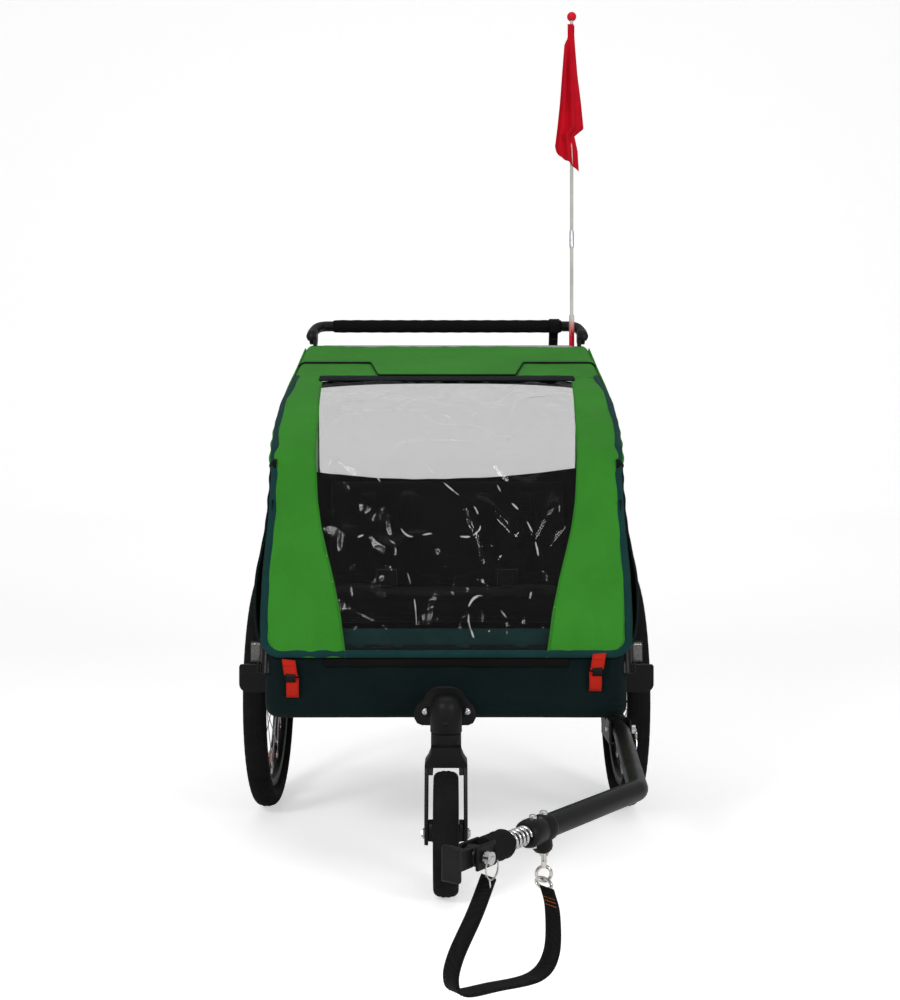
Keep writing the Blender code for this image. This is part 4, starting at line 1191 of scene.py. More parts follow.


# Near-white strips along the film's folds: painted highlights standing in for glints on the vinyl.
def window_fold_highlights():
    folds = []  # half width, line
    for k in range(46):
        share_x, share_z = (0.5 + k * 0.7548776662) % 1.0, (0.5 + k * 0.5698402910) % 1.0
        z = lerp(0.41, 0.86, share_z)
        x = lerp(-1, 1, share_x) * (window_half(z) - 0.03)
        line = ridge_fold(x, z, lerp(0.010, 0.028, (k * 0.618034) % 1.0))
        if line:
            folds.append((lerp(0.0008, 0.0021, (k * 0.414214) % 1.0), line))
    verts, faces = [], []
    for number, (half, line) in enumerate(folds):
        steps = 6 * (len(line) - 1) + 2
        points = smooth_path([on_front(x, z, 0.0) for x, z in line], steps)
        base = len(verts)
        for i, point in enumerate(points):
            tangent = (points[min(steps, i + 1)] - points[max(0, i - 1)]).normalized()
            k = nearest_step(point.z)
            normal = cover_normal(k)
            taper = math.sin(math.pi * (0.06 + 0.88 * (i / steps))) ** 0.7
            uneven = 0.85 + 0.35 * ripple(point.x * 3, number, point.z * 3, 50, 3)
            aside = tangent.cross(normal).normalized() * (half * taper * uneven)
            width = window_half(point.z)
            u = min(1.0, max(0.0, (point.x + width) / (2 * width)))
            crest = pane(u, k / (len(cover_path) - 1))
            lift = max(0.0, (crest - point).dot(normal)) + 0.0012
            edge = normal * lift
            verts += [point + aside + edge, point + normal * (lift + 0.0009), point - aside + edge]
        for a in range(base, base + 3 * steps, 3):
            faces += [(a, a + 1, a + 4, a + 3), (a + 1, a + 2, a + 5, a + 4)]
    return make("window_fold_highlights", verts, faces, MAT["crease"])


sewn(window_fold_highlights(), "clear_vinyl", body="front_cover")
line = [cover_point(0.9450, lambda z: x, 0.0040)[0] for x in spread(-0.2660, 0.2660, 80)]
piece = tube("window_top_piping", line, 0.0016, MAT["window"], 8)
sewn(piece, "dark_fabric", body="front_cover")

# corner posts, with a dark cap where the cloth's corner is pulled over
CAP_PROFILE = [
    (0.0, -0.0060), (0.0125, -0.0060), (0.0120, -0.0010), (0.0070, 0.0045), (0.0030, 0.0082),
    (0.0, 0.0090),
]
for sign, side in SIDES:
    foot, head = place(sign * 0.318, -0.4554, 0.3345), place(sign * 0.318, -0.335, 0.700)
    line = [foot.lerp(head, k / 10) for k in range(11)]
    post = tube(f"corner_post_{side}", line, 0.0105, MAT["coat"], 20)
    rigid(post, "front_frame", "frame_aluminium", f"front_upright_{side}")
    at = place(sign * 0.3195, -0.3480, 0.7055)
    cap = turned(f"corner_cap_{side}", CAP_PROFILE, at, (sign, 0, 0), MAT["black_cloth"], 28)
    rigid(cap, "front_frame", "black_plastic")

# ---- seat ----
PAD_VOXEL = 0.006 * 1.0
PAD_FRAMES = 18
PIN_REACH = 0.0035  # how near a seam a vertex is pinned
cushion_low, cushion_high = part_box("seat_cushion")


def inflate(pad):
    """Puffs a pad up with a short cloth simulation, pinned by its group "pins"."""
    cloth = pad.modifiers.new("Cloth", "CLOTH")
    settings = cloth.settings
    settings.quality = 4
    settings.mass = 0.3
    settings.tension_stiffness = 12
    settings.compression_stiffness = 12
    settings.bending_stiffness = 0.4
    settings.use_pressure = True
    settings.uniform_pressure_force = 4.0
    settings.effector_weights.gravity = 0.0
    settings.vertex_group_mass = "pins"
    cloth.collision_settings.use_collision = False
    cloth.point_cache.frame_start = 1
    cloth.point_cache.frame_end = PAD_FRAMES
    scene = bpy.context.scene
    for frame in range(1, PAD_FRAMES + 1):
        scene.frame_set(frame)
    bpy.context.view_layer.update()
    bpy.ops.object.modifier_apply(modifier="Cloth")
    scene.frame_set(1)


def padded(source, on_seam, cap):
    """A CAD cushion remeshed and puffed up as sewn cloth, moved by no more than cap."""
    node = NODES[source]
    graph = bpy.context.evaluated_depsgraph_get()
    mesh = bpy.data.meshes.new_from_object(node.evaluated_get(graph), depsgraph=graph)
    mesh.transform(node.matrix_world)
    pad = bpy.data.objects.new(f"{source}_pad", mesh)
    bpy.context.scene.collection.objects.link(pad)
    bpy.ops.object.select_all(action="DESELECT")
    pad.select_set(True)
    bpy.context.view_layer.objects.active = pad
    pad.data.remesh_voxel_size = PAD_VOXEL
    bpy.ops.object.voxel_remesh()
    pins = pad.vertex_groups.new(name="pins")
    rest = [vert.co.copy() for vert in pad.data.vertices]
    for vert in pad.data.vertices:
        if on_seam(vert.co):
            pins.add([vert.index], 1.0, "REPLACE")
    inflate(pad)
    for vert, start in zip(pad.data.vertices, rest):
        shift = vert.co - start
        if shift.length > cap:
            vert.co = start + shift.normalized() * cap
    smoothing = pad.modifiers.new("smooth", "SUBSURF")
    smoothing.levels = 1
    smoothing.render_levels = 1
    pad.data.materials.clear()
    pad.data.materials.append(MAT["seat"])
    pad.data.shade_smooth()
    return pad


def on_cushion_seam(point):
    """Three fore-and-aft lines on the cushion's top: the middle and each seat's own."""
    near = min(abs(point.x), abs(abs(point.x) - SEAT_X))
    return near < PIN_REACH and point.z > cushion_high.z - 0.012


def on_back_seam(point):
    """The backrest's middle line and three level lines."""
    levels = (abs(point.z - z) for z in (0.520, 0.580, 0.640))
    return min(abs(point.x), *levels) < PIN_REACH


sewn(padded("seat_cushion", on_cushion_seam, cap=0.009), "seat_fabric", "seat_cushion")
pad = padded("seat_back", on_back_seam, cap=0.008)
for vert in pad.data.vertices:  # the top is pressed down
    vert.co.z -= 0.24 * max(0.0, vert.co.z - 0.600)
sewn(pad, "seat_fabric", "seat_back")
for sign, side in SIDES:
    line = [place(sign * SEAT_X, y, 0.4528) for y in spread(-0.102, 0.110, 20)]
    sewn(tube(f"cushion_seam_{side}", line, 0.0010, MAT["black_cloth"], 6), "seat_fabric")
line = []
for angle in circle(80):
    x, y = squircle(angle, 10)
    y = (cushion_low.y + cushion_high.y) / 2 + (cushion_high.y - cushion_low.y) / 2 * y * 0.996
    line.append(Vector((cushion_high.x * x * 0.996, y, cushion_high.z - 0.008)))
piece = tube("cushion_welt", line, 0.0026, MAT["black_cloth"], 8, closed=True)
sewn(piece, "seat_fabric")

# ---- harness ----
STRAP_WIDTH = 0.025  # harness and safety strap
STRAP_OFFSET = 0.0455  # each shoulder strap from the middle of its seat
BACK_ANGLE = math.atan2(0.068, 0.252)  # lean of the backrest
# (height up the backrest, distance in front of it) of a shoulder strap
STRAP_STATIONS = [(0.205, 0.004), (0.185, 0.012), (0.130, 0.014), (0.070, 0.017)]
# x from the seat's middle, y, z
BELT = [
    (-0.115, 0.105, 0.462), (-0.085, 0.080, 0.468), (-0.030, 0.070, 0.472),
    (0.030, 0.070, 0.472), (0.085, 0.080, 0.468), (0.115, 0.105, 0.462),
]


def back_point(x, height, out):
    """A point in front of the backrest, at a height up its face."""
    sine, cosine = math.sin(BACK_ANGLE), math.cos(BACK_ANGLE)
    y = 0.125 + sine * height - cosine * out
    return place(x, y, 0.460 + cosine * height + sine * out * 0.5)


def shoulder_strap(middle, offset, name_end, *replaces):
    x = middle + offset
    path = [back_point(x, height, out) for height, out in STRAP_STATIONS]
    path.append(back_point(middle + offset * 0.55, 0.030, 0.026))
    path.append(place(middle + offset * 0.3, 0.085, 0.470))
    strap = ribbon(
        f"harness_strap_{name_end}", path, (1, 0, 0), STRAP_WIDTH, MAT["web"], steps=30
    )
    sewn(strap, "webbing", *replaces)

    def pad(u, v):
        puff = math.sin(math.pi * u) ** 0.6 * math.sin(math.pi * v) ** 0.5
        return back_point(x + 0.044 * (u - 0.5), lerp(0.075, 0.172, v), 0.0150 + 0.006 * puff)

    cloth = sheet(f"harness_pad_{name_end}", pad, 14, 20, MAT["black_cloth"], 0.0020)
    sewn(cloth, "webbing")


for sign, side in SIDES:
    middle = sign * SEAT_X
    shoulder_strap(middle, STRAP_OFFSET, f"{side}_0", f"harness_{side}")
    shoulder_strap(middle, -STRAP_OFFSET, f"{side}_1")
    line = [place(middle + x, y, z) for x, y, z in BELT]
    belt = ribbon(
        f"harness_belt_{side}", line, (0, 0.25, 1), STRAP_WIDTH, MAT["web"], steps=36
    )
    sewn(belt, "webbing")
    low, high = place(middle - 0.022, 0.052, 0.456), place(middle + 0.022, 0.066, 0.492)
    buckle = block(f"harness_buckle_{side}", low, high, MAT["plastic"], 0.004)
    sewn(buckle, "webbing", keep=0.5)
    line = [place(middle, y, z) for y, z in ((0.010, 0.456), (0.035, 0.458), (0.060, 0.466))]
    crotch = ribbon(
        f"harness_crotch_{side}", line, (1, 0, 0), STRAP_WIDTH, MAT["web"], steps=16
    )
    sewn(crotch, "webbing")

# ---- wheels ----
SPOKES = 28
SPOKE_LEAN = math.radians(66)
# (radius, distance along the axle)
RIM_PROFILE = [
    (0.2072, -0.0128), (0.2080, -0.0110), (0.2010, -0.0092), (0.2010, 0.0092),
    (0.2080, 0.0110), (0.2072, 0.0128), (0.1985, 0.0132), (0.1935, 0.0112), (0.1900, 0.0050),
    (0.1895, 0.0), (0.1900, -0.0050), (0.1935, -0.0112), (0.1985, -0.0132), (0.2072, -0.0128),
]
HUB_PROFILE = [
    (0.0, -0.0530), (0.0052, -0.0530), (0.0060, -0.0522), (0.0060, -0.0245),
    (0.0105, -0.0245), (0.0125, -0.0232), (0.0130, -0.0190), (0.0236, -0.0174),
    (0.0245, -0.0157), (0.0236, -0.0140), (0.0140, -0.0122), (0.0112, -0.0070),
    (0.0112, 0.0070), (0.0140, 0.0122), (0.0236, 0.0140), (0.0245, 0.0157),
    (0.0236, 0.0174), (0.0130, 0.0190), (0.0125, 0.0215), (0.0092, 0.0236),
    (0.0040, 0.0240), (0.0, 0.0236),
]


def around(centre, radius, angle, x=0.0):
    """A point round a wheel's axle; angle 0 is up, and x is the shift along the axle."""
    return centre + Vector((x, radius * math.sin(angle), radius * math.cos(angle)))


def tyre(name, at, radius, inner, width, steps, blocks, groove):
    """A tyre round the X axis: tread cut into blocks by grooves, and narrow beads."""
    middle, half, depth = (radius + inner) / 2, width / 2, (radius - inner) / 2
    rings = []
    for i in range(steps):
        turn = math.tau * i / steps
        ring = []
        for angle in circle(44):
            outward = math.cos(angle)
            rise, x = squircle(angle, 2.4)
            x, rise = half * x, depth * rise
            if outward <= -0.2:  # pinched towards the beads
                x *= lerp(1.0, 0.56, ease((-outward - 0.2) / 0.8))
            share = abs(x) / half
            if outward > 0.15:
                phase = (turn * blocks / math.tau + share * 0.55) % 1.0
                cut = 0.0
                if phase < 0.26 and share > 0.16:
                    cut = groove * ease((0.26 - phase) / 0.08)
                if 0.36 < share < 0.46 or share < 0.05:
                    cut = max(cut, groove * 0.8)
                rise -= cut
            elif -0.20 < outward < -0.09:  # a raised rib on the sidewall
                x *= 1.006
            reach = middle + rise
            y, z = at.y + reach * math.sin(turn), at.z + reach * math.cos(turn)
            ring.append(Vector((at.x + x, y, z)))
        rings.append(ring)
    return loft(name, rings, MAT["rubber"], closed=True)


def spoke_paths(centre, sign):
    """Paths of the spokes and of their nipples."""
    spokes, nipples = [], []
    for k, angle in enumerate(circle(SPOKES)):
        outer = 1 if k % 2 else -1
        lean = (1 if (k // 2) % 2 else -1) * SPOKE_LEAN
        hub_x = sign * 0.0157 * outer + sign * 0.0014 * outer
        hub_at = around(centre, 0.0212, angle + lean, hub_x)
        rim_at = around(centre, 0.1915, angle, sign * 0.0016 * outer)
        spokes.append([hub_at, hub_at.lerp(rim_at, 0.5), rim_at])
        nipples.append([rim_at.lerp(hub_at, 0.085), rim_at])
    return spokes, nipples


def rear_wheel(sign, side):
    centre, axis = place(sign * TRACK_HALF, 0, WHEEL_RADIUS), (sign, 0, 0)
    body = f"{side}_wheel"
    piece = tyre(
        f"{side}_tyre_tread", centre, WHEEL_RADIUS, inner=0.2085, width=0.045, steps=360,
        blocks=62, groove=0.0011,
    )
    rigid(piece, body, "tyre_rubber", f"{side}_tyre")
    rim = turned(f"{side}_rim_band", RIM_PROFILE, centre, axis, MAT["coat"], 120)
    rigid(rim, body, "black_powder_coat", f"{side}_rim")
    hub = turned(f"{side}_hub_shell", HUB_PROFILE, centre, axis, MAT["alu"], 48)
    rigid(hub, body, "bright_steel", f"{side}_hub")
    spokes, nipples = spoke_paths(centre, sign)
    rigid(tubes(f"{side}_spokes", spokes, 0.00105, MAT["steel"], 6), body, "bright_steel")
    rigid(tubes(f"{side}_nipples", nipples, 0.0021, MAT["steel"], 8), body, "bright_steel")
    valve_angle = math.radians(152)
    foot, tip = around(centre, 0.1900, valve_angle), around(centre, 0.1620, valve_angle)
    line = [foot, foot.lerp(tip, 0.7), foot.lerp(tip, 0.72), tip]
    valve = tube(f"{side}_valve", line, [0.0036, 0.0032, 0.0040, 0.0038], MAT["rubber"], 12)
    rigid(valve, body, "tyre_rubber")
    middle, half = around(centre, 0.150, math.radians(182)), Vector((0.0042, 0.034, 0.011))
    name = f"{side}_spoke_reflector"
    lens = block(name, middle - half, middle + half, MAT["amber"], 0.0032)
    rigid(lens, body, "reflector_grey")


for sign, side in SIDES:
    rear_wheel(sign, side)

# (radius, distance along the axle)
CORE_RIM = [
    (0.0758, -0.0130), (0.0775, -0.0105), (0.0740, -0.0080), (0.0740, 0.0080),
    (0.0775, 0.0105), (0.0758, 0.0130), (0.0700, 0.0135), (0.0660, 0.0118), (0.0640, 0.0070),
    (0.0635, 0.0), (0.0640, -0.0070), (0.0660, -0.0118), (0.0700, -0.0135), (0.0758, -0.0130),
]
CORE_HUB = [
    (0.0, -0.0390), (0.0042, -0.0390), (0.0045, -0.0240), (0.0130, -0.0235),
    (0.0155, -0.0200), (0.0160, 0.0), (0.0155, 0.0200), (0.0130, 0.0235), (0.0045, 0.0240),
    (0.0042, 0.0390), (0.0, 0.0390),
]
AXLE_NUT = [
    (0.0, 0.0330), (0.0088, 0.0332), (0.0088, 0.0372), (0.0078, 0.0378), (0.0060, 0.0380),
    (0.0055, 0.0400), (0.0, 0.0404),
]


def front_wheel(centre):
    piece = tyre(
        "front_tyre_tread", centre, FRONT_WHEEL_RADIUS, inner=0.0745, width=0.041, steps=200,
        blocks=34, groove=0.0010,
    )
    rigid(piece, "front_wheel", "tyre_rubber", "front_tyre")
    piece = turned("front_core_rim", CORE_RIM, centre, (1, 0, 0), MAT["plastic"], 72)
    rigid(piece, "front_wheel", "black_plastic", "front_wheel_core")
    piece = turned("front_core_hub", CORE_HUB, centre, (1, 0, 0), MAT["plastic"], 40)
    rigid(piece, "front_wheel", "black_plastic")
    arms = []
    for angle in circle(5):
        for x in (-0.006, 0.006):
            arms.append([
                around(centre, 0.014, angle, x),
                around(centre, 0.040, angle + 0.06, x * 0.9),
                around(centre, 0.0655, angle, x * 0.8),
            ])
    piece = tubes("front_core_arms", arms, 0.0058, MAT["plastic"], 10)
    rigid(piece, "front_wheel", "black_plastic")


front_centre = place(0, FRONT_AXLE_Y, FRONT_WHEEL_RADIUS)
front_wheel(front_centre)

# ---- fork ----
# Each part of a fork leg: name, inner x, outer x, rows of (z, front y, rear y).
# The blade leans forward to the axle; gusset and boss leave a long slot beside the wheel.
FORK_PARTS = [
    ("blade", 0.0290, 0.0352, [
        (0.2080, -0.6240, -0.5620), (0.1700, -0.6360, -0.5880), (0.1300, -0.6500, -0.6120),
        (0.1080, -0.6560, -0.6240), (0.0920, -0.6540, -0.6280), (0.0820, -0.6480, -0.6340),
    ]),
    ("gusset", 0.0214, 0.0296, [
        (0.2080, -0.6240, -0.5620), (0.1990, -0.6270, -0.5660), (0.1915, -0.6290, -0.5700),
    ]),
    ("boss", 0.0214, 0.0296, [
        (0.1185, -0.6500, -0.6200), (0.1100, -0.6540, -0.6240), (0.0935, -0.6530, -0.6280),
        (0.0885, -0.6490, -0.6320),
    ]),
]
CROWN = mirrored([  # (x, z)
    (0.0, 0.2360), (0.0250, 0.2360), (0.0258, 0.2250), (0.0300, 0.2150), (0.0345, 0.2085),
    (0.0352, 0.2030), (0.0, 0.2030),
])
CROWN_STATIONS = [(-0.6250, 0.96), (-0.6225, 1.0), (-0.5640, 1.0), (-0.5615, 0.96)]  # y, width
COLUMN = [(0.0, 0.2553), (0.0240, 0.2553), (0.0252, 0.2540), (0.0252, 0.2300), (0.0, 0.2300)]

for sign, side in SIDES:
    name = f"front_axle_nut_{side}"
    nut = turned(name, AXLE_NUT, front_centre, (sign, 0, 0), MAT["steel"], 6)
    rigid(nut, "fork", "bright_steel")
    for part, inner, outer, rows in FORK_PARTS:
        rings = [
            [
                place(sign * inner, front, z), place(sign * outer, front + 0.002, z),
                place(sign * outer, rear - 0.002, z), place(sign * inner, rear, z),
            ]
            for z, front, rear in rows
        ]
        piece = loft(f"fork_{part}_{side}", rings, MAT["plastic"])
        rigid(soft_edges(piece, angle=math.radians(35)), "fork", "black_plastic")
rings = [[place(x * width, y, z) for x, z in CROWN] for y, width in CROWN_STATIONS]
rigid(loft("fork_crown", rings, MAT["plastic"]), "fork", "black_plastic", "front_fork")
piece = turned("fork_column", COLUMN, place(0, STEER_Y, 0), UP, MAT["plastic"], 44)
rigid(piece, "fork", "black_plastic")
line = [place(x, FRONT_AXLE_Y, FRONT_WHEEL_RADIUS) for x in (-0.0375, 0.0375)]
rigid(tube("fork_axle", line, 0.0040, MAT["steel"], 14), "fork", "bright_steel")

# ---- swivel bracket ----
PLATE = mirrored([  # (x, z)
    (0.0, 0.3225), (0.0110, 0.3220), (0.0210, 0.3198), (0.0305, 0.3120), (0.0375, 0.3005),
    (0.0480, 0.2900), (0.0530, 0.2790), (0.0530, 0.2680), (0.0480, 0.2590), (0.0400, 0.2556),
    (0.0200, 0.2552), (0.0, 0.2552),
])
PLATE_MIDDLE_Z = 0.2885
PLATE_STATIONS = [(-0.5120, 1.0), (-0.5235, 1.0), (-0.5255, 0.95)]  # y, scale
BARREL = [
    (0.0, 0.3170), (0.0110, 0.3158), (0.0195, 0.3115), (0.0246, 0.3040), (0.0264, 0.2950),
    (0.0264, 0.2570), (0.0255, 0.2558), (0.0, 0.2558),
]
SCREW = [
    (0.0, -0.0008), (0.0052, -0.0008), (0.0055, 0.0012), (0.0040, 0.0030), (0.0016, 0.0034),
    (0.0, 0.0022),
]
rings = [
    [place(x * scale - 0.002, y, lerp(PLATE_MIDDLE_Z, z, scale)) for x, z in PLATE]
    for y, scale in PLATE_STATIONS
]
rigid(loft("bracket_plate", rings, MAT["plastic"]), "chassis", "black_plastic", "swivel_bracket")
piece = turned("bracket_barrel", BARREL, place(0, STEER_Y, 0), UP, MAT["plastic"], 48)
rigid(piece, "chassis", "black_plastic")
low, high = place(-0.0230, -0.5750, 0.2620), place(0.0230, -0.4700, 0.3080)
rigid(block("bracket_neck", low, high, MAT["plastic"], 0.006), "chassis", "black_plastic")
at = place(0, -0.6160, 0.2760)
rigid(turned("bracket_screw", SCREW, at, (0, -1, 0), MAT["coat"], 24), "chassis", "bright_steel")

# ---- bracket bolts, front reflectors and wheel guards ----
BOLT_DOME = [
    (0.0058, -0.0030), (0.0060, 0.0004), (0.0054, 0.0022), (0.0036, 0.0034),
    (0.0026, 0.0036), (0.0022, 0.0020), (0.0, 0.0018),
]
BOLT_WASHER = [(0.0088, -0.0034), (0.0090, -0.0016), (0.0082, -0.0008), (0.0040, -0.0008)]
GUARD_CURVE = 0.0160  # radius of the guard's lower outer edge
GUARD = [  # (x, z)
    (0.3215, 0.2830),
    *[
        (0.3600 + GUARD_CURVE * math.sin(angle), 0.2990 - GUARD_CURVE * math.cos(angle))
        for angle in spread(0, math.pi / 2, 12)
    ],
    (0.3760, 0.3300), (0.3740, 0.3335), (0.3215, 0.3335),
]
GUARD_STATIONS = [(-0.3960, 0.010), (-0.3900, 0.010), (-0.300, 0.0), (-0.294, 0.0)]  # y, lift


def bracket_side(sign, side):
    at, forward = place(sign * 0.036, -0.5290, 0.280), (0, -1, 0)
    dome = turned(f"bracket_bolt_dome_{side}", BOLT_DOME, at, forward, MAT["steel"], 28)
    rigid(dome, "chassis", "bright_steel", f"bracket_bolt_{side}")
    washer = turned(f"bracket_washer_{side}", BOLT_WASHER, at, forward, MAT["coat"], 32)
    rigid(washer, "chassis", "bright_steel")

    low = place(sign * 0.3520 - 0.0165, -0.3190, 0.3350)
    high = place(sign * 0.3520 + 0.0165, -0.3060, 0.3770)
    case_low = Vector((low.x, low.y + 0.0022, low.z))
    case = block(f"reflector_case_{side}", case_low, high, MAT["plastic"], 0.0024)
    rigid(case, "chassis", "black_plastic", f"front_reflector_{side}")
    rings = [[place(sign * x, y, z + lift) for x, z in GUARD] for y, lift in GUARD_STATIONS]
    guard = loft(f"guard_{side}", rings, MAT["plastic"])
    rigid(guard, "chassis", "black_plastic", f"wheel_guard_{side}")
    ridge_x = (low.x + high.x) / 2 - sign * 0.002

    def lens(u, v):
        """Two facets that meet in a low ridge."""
        x = lerp(low.x + 0.0022, high.x - 0.0022, u)
        z = lerp(low.z + 0.0022, high.z - 0.0022, v)
        out = 0.0036 * (1 - abs(x - ridge_x) / ((high.x - low.x) / 2))
        out += 0.0016 * min(1, 12 * v, 12 * (1 - v))
        return Vector((x, low.y + 0.0028 - max(0.0, out), z))

    piece = sheet(f"reflector_lens_{side}", lens, 20, 20, MAT["reflector"], 0.0008)
    rigid(piece, "chassis", "reflector_grey")


for sign, side in SIDES:
    bracket_side(sign, side)

# ---- handlebar, foam grip, wrist strap ----
HUB_YZ = (0.308, 1.026)
HANDLE_YZ = (0.375, 1.060)
FOAM_RADIUS = 0.0152
STRAP_X = 0.257
# one arm of the bar, from its hub to the grip
ARM = [
    (0.3205, 0.312, 1.0275), (0.3190, 0.333, 1.0390), (0.3110, 0.357, 1.0530),
    (0.2970, 0.372, 1.0590), (0.2700, *HANDLE_YZ), (0.1300, *HANDLE_YZ),
]
ARM_HUB = [
    (0.0, 0.0), (0.0175, 0.0), (0.0178, 0.0012), (0.0178, 0.0072), (0.0168, 0.0086),
    (0.0098, 0.0086),
]
BUTTON = [(0.0, 0.0064), (0.0060, 0.0062), (0.0082, 0.0050), (0.0090, 0.0034), (0.0090, 0.0)]
HUB_TEETH = [(0.0172, -0.0012), (0.0182, -0.0006), (0.0182, 0.0016), (0.0170, 0.0020)]
bar_points = [*ARM, (0, *HANDLE_YZ), *[(-x, y, z) for x, y, z in reversed(ARM)]]
bar_line = smooth_path([place(*point) for point in bar_points], 150)
foam_line = [point for point in bar_line if abs(point.x) <= 0.2830]
foam_steps = len(foam_line) - 1
foam_radii = []
for k in range(foam_steps + 1):
    taper = 1 - 0.45 * max(0.0, 1 - min(k, foam_steps - k) / 1.6) ** 2
    foam_radii.append(FOAM_RADIUS * taper + 0.0003 * math.sin(k * 0.9))
piece = tube("foam_sleeve", foam_line, foam_radii, MAT["foam"], 26)
rigid(piece, "handlebar", "foam", "foam_grip")
piece = tube("handlebar_tube", bar_line, 0.0122, MAT["coat"], 24)
rigid(piece, "handlebar", "black_powder_coat", "handlebar")
for sign, side in SIDES:
    at = place(sign * 0.3149, *HUB_YZ)
    piece = turned(f"arm_hub_{side}", ARM_HUB, at, (sign, 0, 0), MAT["coat"], 36)
    rigid(piece, "handlebar", "black_powder_coat")
for sign, side in SIDES:
    at, axis = place(sign * 0.3232, *HUB_YZ), (sign, 0, 0)
    piece = turned(f"button_cap_{side}", BUTTON, at, axis, MAT["plastic"], 32)
    rigid(piece, f"{side}_button", "black_plastic", f"handle_button_{side}")
    at = place(sign * 0.3146, *HUB_YZ)
    piece = turned(f"hub_teeth_{side}", HUB_TEETH, at, axis, MAT["plastic"], 36)
    rigid(piece, "rear_frame", "black_plastic")

handle_y, handle_z = HANDLE_YZ
loop = []
for k in range(15):
    angle = math.radians(-60 + 300 * k / 14)
    y, z = handle_y + 0.0172 * math.cos(angle), handle_z + 0.0172 * math.sin(angle)
    loop.append(place(STRAP_X, y, z))
# x, then y and z from the grip's axis
TAIL = [
    (STRAP_X, 0.0160, -0.012), (0.2565, 0.0185, -0.030), (0.2560, 0.0190, -0.052),
    (0.2565, 0.0175, -0.070),
]
tail = [place(x, handle_y + y, handle_z + z) for x, y, z in TAIL]
piece = ribbon("wrist_strap_loop", loop, (1, 0, 0), 0.024, MAT["web"])
rigid(piece, "handlebar", "webbing", "wrist_strap")
piece = ribbon("wrist_strap_tail", tail, (1, 0, 0), 0.022, MAT["web"], steps=24)
rigid(piece, "handlebar", "webbing")
line = [
    tail[0] + Vector(shift)
    for shift in (
        (-0.0075, 0.0012, -0.004), (0.0075, 0.0012, -0.004),
        (0.0075, 0.0016, -0.016), (-0.0075, 0.0016, -0.016),
    )
]
piece = stitches(
    "wrist_strap_stitch", line, MAT["orange_thread"], pitch=0.003, length=0.0020, radius=0.0003
)
rigid(piece, "handlebar", "webbing")

# ---- tow bar and hitch ----
TOW_BEND = place(0.264, -0.973, 0.245)
TOW_DIRECTION = Vector((-0.577, -0.817, 0)).normalized()
TOW_ACROSS = Vector((0.817, -0.577, 0)).normalized()
BEND_RADIUS = 0.045
COIL_TURNS, COIL_RADIUS, COIL_STEPS = 5.5, 0.0098, 121
# (radius, distance from the bend)
SLEEVE = [
    (0.0, 0.2370), (0.0130, 0.2370), (0.0150, 0.2385), (0.0166, 0.2410), (0.0171, 0.2440),
    (0.0171, 0.2560), (0.0160, 0.2575), (0.0160, 0.2620), (0.0171, 0.2640), (0.0171, 0.2840),
    (0.0164, 0.2890), (0.0142, 0.2925), (0.0105, 0.2932), (0.0, 0.2932),
]
YOKE_COLLAR = [
    (0.0, 0.3362), (0.0140, 0.3364), (0.0164, 0.3380), (0.0172, 0.3410), (0.0164, 0.3450),
    (0.0164, 0.3500), (0.0172, 0.3530), (0.0166, 0.3570), (0.0166, 0.3780), (0.0150, 0.3800),
    (0.0, 0.3800),
]
BOLT = [
    (0.0, -0.0190), (0.0050, -0.0190), (0.0050, 0.0178), (0.00475, 0.0196),
    (0.00275, 0.0208), (0.0, 0.0212),
]
SADDLE = [
    (0.0, -0.0290), (0.0085, -0.0286), (0.0120, -0.0250), (0.0130, -0.0210), (0.0120, -0.0120),
]
EYE = [
    (0.0, -0.0080), (0.0115, -0.0080), (0.0122, -0.0070), (0.0122, 0.0070), (0.0115, 0.0080),
    (0.0, 0.0080),
]


def tow(distance, aside=0.0, up=0.0):
    """A point by the tow bar, at a distance past its bend."""
    return TOW_BEND + TOW_DIRECTION * distance + TOW_ACROSS * aside + UP * up


def corner_path(points, radius, steps):
    """A path of straight runs joined by arcs."""
    out = [points[0]]
    for a, corner, b in zip(points, points[1:], points[2:]):
        to_a, to_b = (a - corner).normalized(), (b - corner).normalized()
        half = to_a.angle(to_b) / 2
        back = radius / math.tan(half)
        centre = corner + (to_a + to_b).normalized() * (radius / math.sin(half))
        start, end = corner + to_a * back - centre, corner + to_b * back - centre
        for k in range(steps + 1):
            out.append(centre + start.slerp(end, k / steps).normalized() * radius)
    out.append(points[-1])
    return out


def tow_block(name, distances, asides, ups, material, bevel):
    """A block that lies along the tow bar, from pairs of limits."""
    corners = [tow(a, b, c) for a in distances for b in asides for c in ups]
    faces = [(0, 1, 3, 2), (4, 6, 7, 5), (0, 4, 5, 1), (2, 3, 7, 6), (0, 2, 6, 4), (1, 5, 7, 3)]
    return soft_edges(make(name, corners, faces, material), width=bevel, segments=3)


line = [place(0.300, -0.4880, 0.245), place(0.300, -0.5300, 0.245), TOW_BEND, tow(0.2860)]
piece = tube("tow_bar_tube", corner_path(line, BEND_RADIUS, 12), 0.0145, MAT["coat"], 28)
rigid(piece, "drawbar", "black_powder_coat", "drawbar")
line = []
for k in range(COIL_STEPS + 1):
    share = k / COIL_STEPS
    angle = math.tau * COIL_TURNS * share
    across, up = COIL_RADIUS * math.cos(angle), COIL_RADIUS * math.sin(angle)
    line.append(tow(lerp(0.2935, 0.3370, share), across, up))
flex_ends = (tow(0.2950), tow(0.3360))
piece = tube("hitch_coil", line, 0.0021, MAT["steel"])
flexible(piece, "bright_steel", *flex_ends, "hitch_spring")
line = [tow(distance) for distance in spread(0.286, 0.345, 14)]
piece = tube("hitch_core_rubber", line, 0.0064, MAT["rubber"], 14)
flexible(piece, "black_plastic", *flex_ends)
